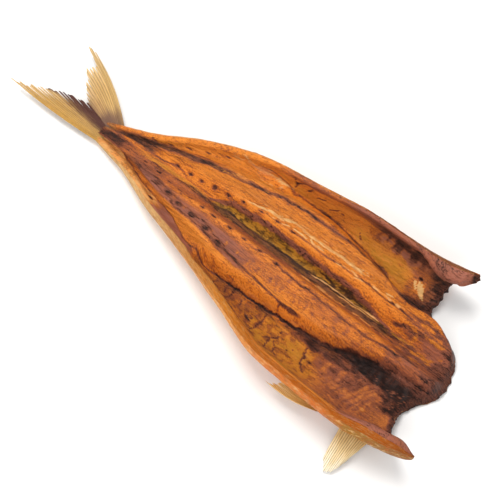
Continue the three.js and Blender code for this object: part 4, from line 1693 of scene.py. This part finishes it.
    def cut_paint(self, x: Array, s: Array, deep: Array) -> dict[Tint, Array]:
        """Colour of the cut ends: dark dried flesh with a paler layer against the skin.

        Args:
            x: Stations.
            s: Arcs.
            deep: Distance down the cut, in millimetres.

        Returns:
            The colour layers.
        """
        streaks = self.cut_streaks.at(s, deep)
        tone = 0.3 + 0.5 * streaks - 0.12 * ease(1.0, 5.0, deep)
        return {Tint.TONE: tone, Tint.PINK: 0.2 + 0.0 * x, Tint.GOLD: 0.0 * x,
                Tint.FAT: 0.4 * ease(0.28, 0.4, streaks), Tint.GREY: 0.15 + 0.0 * x}


@dataclass(frozen=True)
class SkinShell:
    """The skin under the whole body, with its edge turned a little over the rims."""

    form: FishForm
    stations: int = 330
    lanes: int = 120
    turn_rows: int = 12
    turn_angle: Halves = Halves(
        along((0, 1.0), (30, 1.5), (60, 1.8), (95, 2.4), (135, 2.2), (160, 1.8), (210, 1.7), (262, 0.9)),
        along((0, 0.7), (110, 0.7), (262, 0.5)))
    thickness: float = 0.7
    tail_over: float = 1.0
    head_over: float = 0.2
    lift_over: float = 0.2
    bulge_over: float = 0.3
    wrinkle: float = 0.35
    wrinkle_base: float = 0.3
    wrinkle_side: Pair = (0.45, 0.8)
    dents: Weave = Weave(81, 9.0, 7.0)
    creases: Weave = Weave(82, 3.0, 12.0, 2, 0.5)
    colour_length: float = 274.0
    back_side: Pair = (0.15, 0.75)
    turned_side: Pair = (0.97, 1.06)
    far_side: Pair = (0.8, 0.95)
    far_stations: Pair = (120.0, 190.0)

    def layers_of(self) -> tuple[Array, Array, Array, Array]:
        """Work out the outer face of the skin.

        Returns:
            Its points, outward normals, stations and signed shares of the width, rims past 1.
        """
        middle = np.linspace(-1.0, 1.0, self.lanes + 1)
        turn = np.linspace(0.0, 1.0, self.turn_rows + 1)[1:]
        share = np.concatenate([-1.0 - turn[::-1], middle, 1.0 + turn])
        step = np.linspace(0, 1, self.stations)[:, None] ** STATION_POWER
        x = mix(self.form.tail_root - self.tail_over, self.form.cut_ends(share)[None, :] + self.head_over,
                step)
        share = np.broadcast_to(share, x.shape)
        sign = np.where(share < 0, -1.0, 1.0)
        within = np.clip(np.abs(share), 0, 1)
        angle = np.maximum(np.abs(share) - 1.0, 0.0) * self.turn_angle.at(sign, x)
        skin, inward, outward = self.form.section(sign, x, within)
        depth = self.form.depth(sign, x, within)[..., None]
        lift = (depth / 2 + self.lift_over) * (1.0 - np.cos(angle)[..., None])
        bulge = (depth / 3 + self.bulge_over) * np.sin(angle)[..., None]
        points = skin + inward * lift + outward * bulge
        normal = -inward * np.cos(angle)[..., None] + outward * np.sin(angle)[..., None]
        return points, normal, x, share

    def build(self, material: bpy.types.Material) -> bpy.types.Object:
        """Build the skin.

        Args:
            material: Its finish.

        Returns:
            The skin as one closed shell.
        """
        points, normal, x, share = self.layers_of()
        arc = share * self.form.skin_width.at(share, x)
        rows, columns = x.shape
        dents = self.dents.at(x, arc) + self.creases.at(x, arc)
        side = ease(*self.wrinkle_side, np.abs(share))
        outer = points + normal * (self.wrinkle * side * (dents - self.wrinkle_base))[..., None]
        inner = outer - normal * self.thickness
        both = np.concatenate([inner.reshape(-1, 3), outer.reshape(-1, 3)])
        flow = np.stack([x, arc, 0 * x], -1).reshape(-1, 3)
        painted = {
            "station": (x - self.form.tail_root) / self.colour_length,
            "back": 1.0 - ease(*self.back_side, np.abs(share)),
            "turned": ease(*self.turned_side, np.abs(share)),
            "far": ease(*self.far_side, share) * ease(*self.far_stations, x),
        }
        layers = {name: np.tile(values.ravel(), 2) for name, values in painted.items()}
        return Piece("skin", both, shell_faces(rows, columns), np.concatenate([flow, flow]), layers).make(
            material, MaterialSlot.SKIN)


class Shade(Enum):
    """Which way the colour of a fin changes."""

    ACROSS = "across"
    BACK_ACROSS = "back across"
    OUTWARD = "outward"


@dataclass(frozen=True)
class Fin:
    """A thin fan of rays from a root line to a torn tip line."""

    name: str
    root: tuple[Triple, ...]
    tip: tuple[Triple, ...]
    rays: int
    shade: Shade = Shade.OUTWARD
    ray_lanes: int = 6
    steps: int = 70
    thickness: Pair = (1.6, 0.5)
    ragged: float = 0.06
    splits: float = 0.12
    split_share: float = 0.4
    bow: Profile = along((0, 0), (1, 0))
    ripple: float = 0.3
    stain: Profile = along((0, 0), (1, 0))
    tip_stain: float = 0.0
    root_stain: float = 0.0
    seed: int = 90
    own_tear: float = 0.5
    split_half: Pair = (0.4, 1.0)
    least_split: float = 0.4
    kept_sides: Pair = (0.07, 0.95)
    ray_step: float = 0.012
    ripple_cells: Pair = (3.0, 6.0)
    ripple_start: Pair = (0.1, 0.5)
    film_share: float = 0.4
    side_thinning: float = 0.7
    side_start: float = 0.92
    lane_width: float = 0.16
    tip_stain_rise: Pair = (0.82, 1.0)
    tip_stain_shade: Pair = (0.1, 0.4)
    root_stain_fall: Pair = (0.1, 0.5)

    def line(self, places: Sequence[Sequence[float]], t: Array) -> Array:
        """Points on a smooth line through a few places, at shares of its length."""
        keys = np.linspace(0, 1, len(places))
        return np.stack([Profile(tuple(zip(keys, [p[k] for p in places]))).at(t) for k in range(3)], -1)

    def reach(self, v: Array) -> tuple[Array, Array]:
        """How far each lane runs out.

        Args:
            v: Places across the fin, from 0 to 1.

        Returns:
            The share of the full length, and how near each lane is to the middle of its ray.
        """
        phase = v * self.rays
        number = np.minimum(np.floor(phase).astype(int), self.rays - 1)
        chance = np.random.default_rng(self.seed).random(self.rays + 4)
        torn = chance[number] * self.own_tear + (1.0 - self.own_tear) * chance[number // 4]
        off = np.abs((phase - number) - 0.5) * 2.0
        beside = np.where(phase - number > 0.5, number + 1, number)
        open_here = (chance[beside + 1] < self.split_share) * ease(*self.split_half, off)
        split = open_here * (self.least_split + (1.0 - self.least_split) * chance[beside])
        first, last = self.kept_sides
        window = ease(0.0, first, v) * (1.0 - ease(last, 1.0, v))
        lost = window * (self.ragged * torn + self.splits * split)
        return 1.0 - lost - self.ray_step * off, 1.0 - off

    def blade(self) -> tuple[Array, Array, Array, Array]:
        """Work out the middle of the blade.

        Returns:
            Its points, normals, how far out each is, and how near to the middle of its ray.
        """
        v = np.linspace(0, 1, self.rays * self.ray_lanes + 1)
        u = np.linspace(0, 1, self.steps + 1)[:, None]
        reach, near = self.reach(v)
        out = u * reach[None, :]
        root, tip = self.line(self.root, v), self.line(self.tip, v)
        points = root[None] * (1 - out[..., None]) + tip[None] * out[..., None]
        points[..., 1] += self.bow.at(v)[None, :] * np.sin(np.pi * out)
        normal = np.cross(np.gradient(points, axis=0), np.gradient(points, axis=1))
        normal /= np.maximum(np.linalg.norm(normal, axis=-1, keepdims=True), 1e-9)
        normal *= np.sign(normal[..., 2:].mean()) if abs(normal[..., 2].mean()) > 0.05 else 1.0
        along_rays, over_rays = self.ripple_cells
        wave = Grain(self.seed + 1).layered(out * along_rays, v[None, :] * over_rays + 0 * out, 3)
        points = points + normal * (self.ripple * wave * 2 * ease(*self.ripple_start, out))[..., None]
        return points, normal, out, np.broadcast_to(near, out.shape)

    def piece(self, form: FishForm) -> Piece:
        """Work out the fin.

        Args:
            form: The fish that it grows from.

        Returns:
            The fin as a closed blade.
        """
        middle, normal, out, near = self.blade()
        rows, columns = out.shape
        v = np.broadcast_to(np.linspace(0, 1, columns), out.shape)
        ray = np.sin(np.pi / 2 * near)
        side = 1.0 - self.side_thinning * ease(self.side_start, 1.0, np.abs(v * 2 - 1))
        film = self.film_share + (1.0 - self.film_share) * ray
        thick = mix(self.thickness[0], self.thickness[1], out) * film * side
        upper = middle + normal * thick[..., None] / 2
        lower = middle - normal * thick[..., None] / 2
        points = np.concatenate([upper.reshape(-1, 3), lower.reshape(-1, 3)]) + form.centre_shift
        length = float(np.linalg.norm(np.array(self.tip[0]) - np.array(self.root[0])))
        width = self.rays * self.ray_lanes * self.lane_width
        flow = np.stack([out * length, v * width, 0 * out], -1).reshape(-1, 3)
        shade = {Shade.ACROSS: v, Shade.BACK_ACROSS: 1 - v, Shade.OUTWARD: out}[self.shade]
        at_tip = self.tip_stain * ease(*self.tip_stain_rise, out) * ease(*self.tip_stain_shade, shade)
        at_root = self.root_stain * (1.0 - ease(*self.root_stain_fall, out))
        stain = self.stain.at(v) + at_tip + at_root
        layers = {name: np.tile(values.ravel(), 2)
                  for name, values in (("out", out), ("ray", ray), ("shade", shade), ("stain", stain))}
        return Piece(self.name, points, shell_faces(rows, columns), np.concatenate([flow, flow]), layers)


@dataclass(frozen=True)
class Fins:
    """The fins that the fish keeps: both lobes of the tail, the belly fin and the side fin."""

    form: FishForm

    def near_lobe(self) -> tuple[Fin, FinFinish]:
        """The near lobe of the tail fin, golden with a torn brown tip."""
        fin = Fin(
            "tail_fin_left", ((3, -6.6, 4.0), (-1, -4.5, 4.6), (-3, -1, 4.9), (-3, 2.8, 4.9)),
            ((-77, -8.3, 6.0), (-70, -5.5, 6.0), (-58, 0.8, 5.5), (-43, 6.0, 5.0), (-27, 9.3, 4.6)),
            19, Shade.ACROSS, ray_lanes=12, bow=along((0, -1.6), (1, 0.4)), ragged=0.1, splits=0.3,
            split_share=0.6, stain=along((0, -0.4), (0.45, 0.0), (0.62, 0.6), (1, 1.1)), tip_stain=0.6,
            ripple=0.6, seed=91)
        return fin, FinFinish("tail_fin_film", (218, 168, 82), (192, 150, 86), (134, 96, 72), (116, 84, 52),
                              (84, 48, 40), (232, 200, 150))

    def far_lobe(self) -> tuple[Fin, FinFinish]:
        """The far lobe of the tail fin, tan and brown at its root."""
        fin = Fin(
            "tail_fin_right", ((-3, 1.6, 4.7), (-2, 4.5, 4.7), (1, 7.5, 4.5), (4, 9.4, 4.2)),
            ((-26, 8.6, 4.2), (-34, 14.5, 3.8), (-40, 22, 3.8), (-45.5, 28.5, 4.2), (-42, 32.5, 4.4),
             (-55.5, 40.4, 6.0), (-49, 40.2, 5.4)),
            16, Shade.BACK_ACROSS, ray_lanes=14, bow=along((0, 0.5), (1, 3.2)), ragged=0.09, splits=0.2,
            stain=along((0, 0.7), (0.3, 0.25), (1, -0.1)), root_stain=0.75, ripple=0.6, seed=92)
        return fin, FinFinish("far_tail_fin_film", (214, 176, 112), (204, 164, 102), (176, 136, 92),
                              (132, 102, 68), (122, 90, 72), (226, 196, 148))

    def belly_fin(self) -> tuple[Fin, FinFinish]:
        """The pale belly fin, fanned out under the near edge."""
        fin = Fin(
            "belly_fin", ((236, -52, 8), (230, -52, 8), (224, -52, 8), (218, -52, 8)),
            ((232, -69, 3.0), (230, -77, 2.0), (226.5, -80.4, 1.5), (221.5, -74, 2.2)), 13,
            thickness=(1.3, 0.5), ragged=0.08, splits=0.1, seed=93)
        return fin, FinFinish("belly_fin_film", (196, 154, 88), (240, 212, 158), (252, 240, 212),
                              (140, 98, 52), (150, 100, 50), (252, 242, 216))

    def side_fin(self) -> tuple[Fin, FinFinish]:
        """The golden side fin, folded back along the skin."""
        fin = Fin(
            "side_fin", ((212, -55, 14), (210.5, -56, 13.6), (209, -56.8, 13)),
            ((181, -54.8, 10.4), (176, -58, 10.4), (171.2, -62, 10.2)), 11,
            thickness=(1.4, 0.5), bow=along((0, 0), (1, -2.6)), ragged=0.12, splits=0.2,
            stain=along((0, -0.2), (1, 0.1)), seed=94)
        return fin, FinFinish("side_fin_film", (224, 156, 68), (240, 190, 110), (248, 214, 150),
                              (196, 130, 56), (170, 104, 44), (238, 196, 126))

    def build(self) -> list[bpy.types.Object]:
        """Build every fin.

        Returns:
            The fins.
        """
        return [fin.piece(self.form).make(finish.make(), MaterialSlot.FIN)
                for fin, finish in (self.near_lobe(), self.far_lobe(), self.belly_fin(), self.side_fin())]


# ---------------------------------------------------------------------------------------------------
# The studio


@dataclass(frozen=True)
class Lamp:
    """A soft square light that faces the fish: its place and side in metres, its watts and its colour."""

    name: str
    place: Triple
    size: float
    power: float
    warmth: Colour


@dataclass(frozen=True)
class Studio:
    """A pale floor, soft light and the camera."""

    target: Triple = (0.01961, 0.00861, 0.0)
    azimuth: float = 39.5
    elevation: float = 65.0
    distance: float = 0.68944
    lens: float = 85.0
    sensor: float = 36.0
    floor_size: float = 6.0
    floor_height: float = -0.0004
    floor_tone: float = 0.9
    floor_roughness: float = 0.9
    floor_shine: float = 0.1
    sky: Colour = (1.0, 0.99, 0.98)
    sky_strength: float = 0.58
    lamps: tuple[Lamp, ...] = (
        Lamp("key", (-0.35, 0.25, 1.2), 0.6, 11.5, (1.0, 0.98, 0.95)),
        Lamp("fill", (0.2, -1.1, 0.9), 1.0, 10.0, (1.0, 0.99, 0.98)))

    def add_camera(self) -> None:
        """Stand the camera to one side of the near edge, looking down on the fish."""
        data = bpy.data.cameras.new("camera")
        data.lens, data.sensor_width = self.lens, self.sensor
        data.dof.use_dof = False
        a, e = math.radians(self.azimuth), math.radians(self.elevation)
        back = Vector((math.sin(a) * math.cos(e), -math.cos(a) * math.cos(e), math.sin(e)))
        camera = bpy.data.objects.new("camera", data)
        camera.location = Vector(self.target) + back * self.distance
        camera.rotation_mode = "QUATERNION"
        camera.rotation_quaternion = (-back).to_track_quat("-Z", "Y")
        bpy.context.scene.collection.objects.link(camera)
        bpy.context.scene.camera = camera

    def add_light(self, lamp: Lamp) -> None:
        """Hang one lamp and turn it to the fish."""
        data = bpy.data.lights.new(lamp.name, "AREA")
        data.size, data.energy, data.color = lamp.size, lamp.power, lamp.warmth
        light = bpy.data.objects.new(lamp.name, data)
        light.location = lamp.place
        light.rotation_mode = "QUATERNION"
        light.rotation_quaternion = (-Vector(lamp.place)).to_track_quat("-Z", "Y")
        bpy.context.scene.collection.objects.link(light)

    def add_floor(self) -> None:
        """Lay a wide pale floor just under the fish."""
        half = self.floor_size / 2
        mesh = bpy.data.meshes.new("floor")
        corners = [(-half, -half), (half, -half), (half, half), (-half, half)]
        mesh.from_pydata([(x, y, self.floor_height) for x, y in corners], [], [(0, 1, 2, 3)])
        paper = bpy.data.materials.new("pale_paper")
        paper.use_nodes = True
        shader = paper.node_tree.nodes["Principled BSDF"]
        shader.inputs["Base Color"].default_value = (self.floor_tone, self.floor_tone, self.floor_tone, 1.0)
        shader.inputs["Roughness"].default_value = self.floor_roughness
        shader.inputs["Specular IOR Level"].default_value = self.floor_shine
        mesh.materials.append(paper)
        floor = bpy.data.objects.new("floor", mesh)
        bpy.context.scene.collection.objects.link(floor)

    def build(self) -> None:
        """Set up the whole studio."""
        world = bpy.data.worlds.new("studio")
        world.use_nodes = True
        background = world.node_tree.nodes["Background"]
        background.inputs["Color"].default_value = (*self.sky, 1.0)
        background.inputs["Strength"].default_value = self.sky_strength
        bpy.context.scene.world = world
        bpy.context.scene.view_settings.view_transform = "Standard"
        self.add_floor()
        for lamp in self.lamps:
            self.add_light(lamp)
        self.add_camera()


def main() -> None:
    """Build every piece of the fish and the studio, and report each one."""
    logging.basicConfig(level=logging.INFO, format="%(name)s: %(message)s")
    form = FishForm()
    FleshBody(form, FleshMarks()).build(FleshFinish().make())
    SkinShell(form).build(SkinFinish().make())
    for fin in Fins(form).build():
        LOG.info("%s is in place", fin.name)
    Studio().build()
    LOG.info("the studio is ready")


if __name__ == "__main__":
    main()
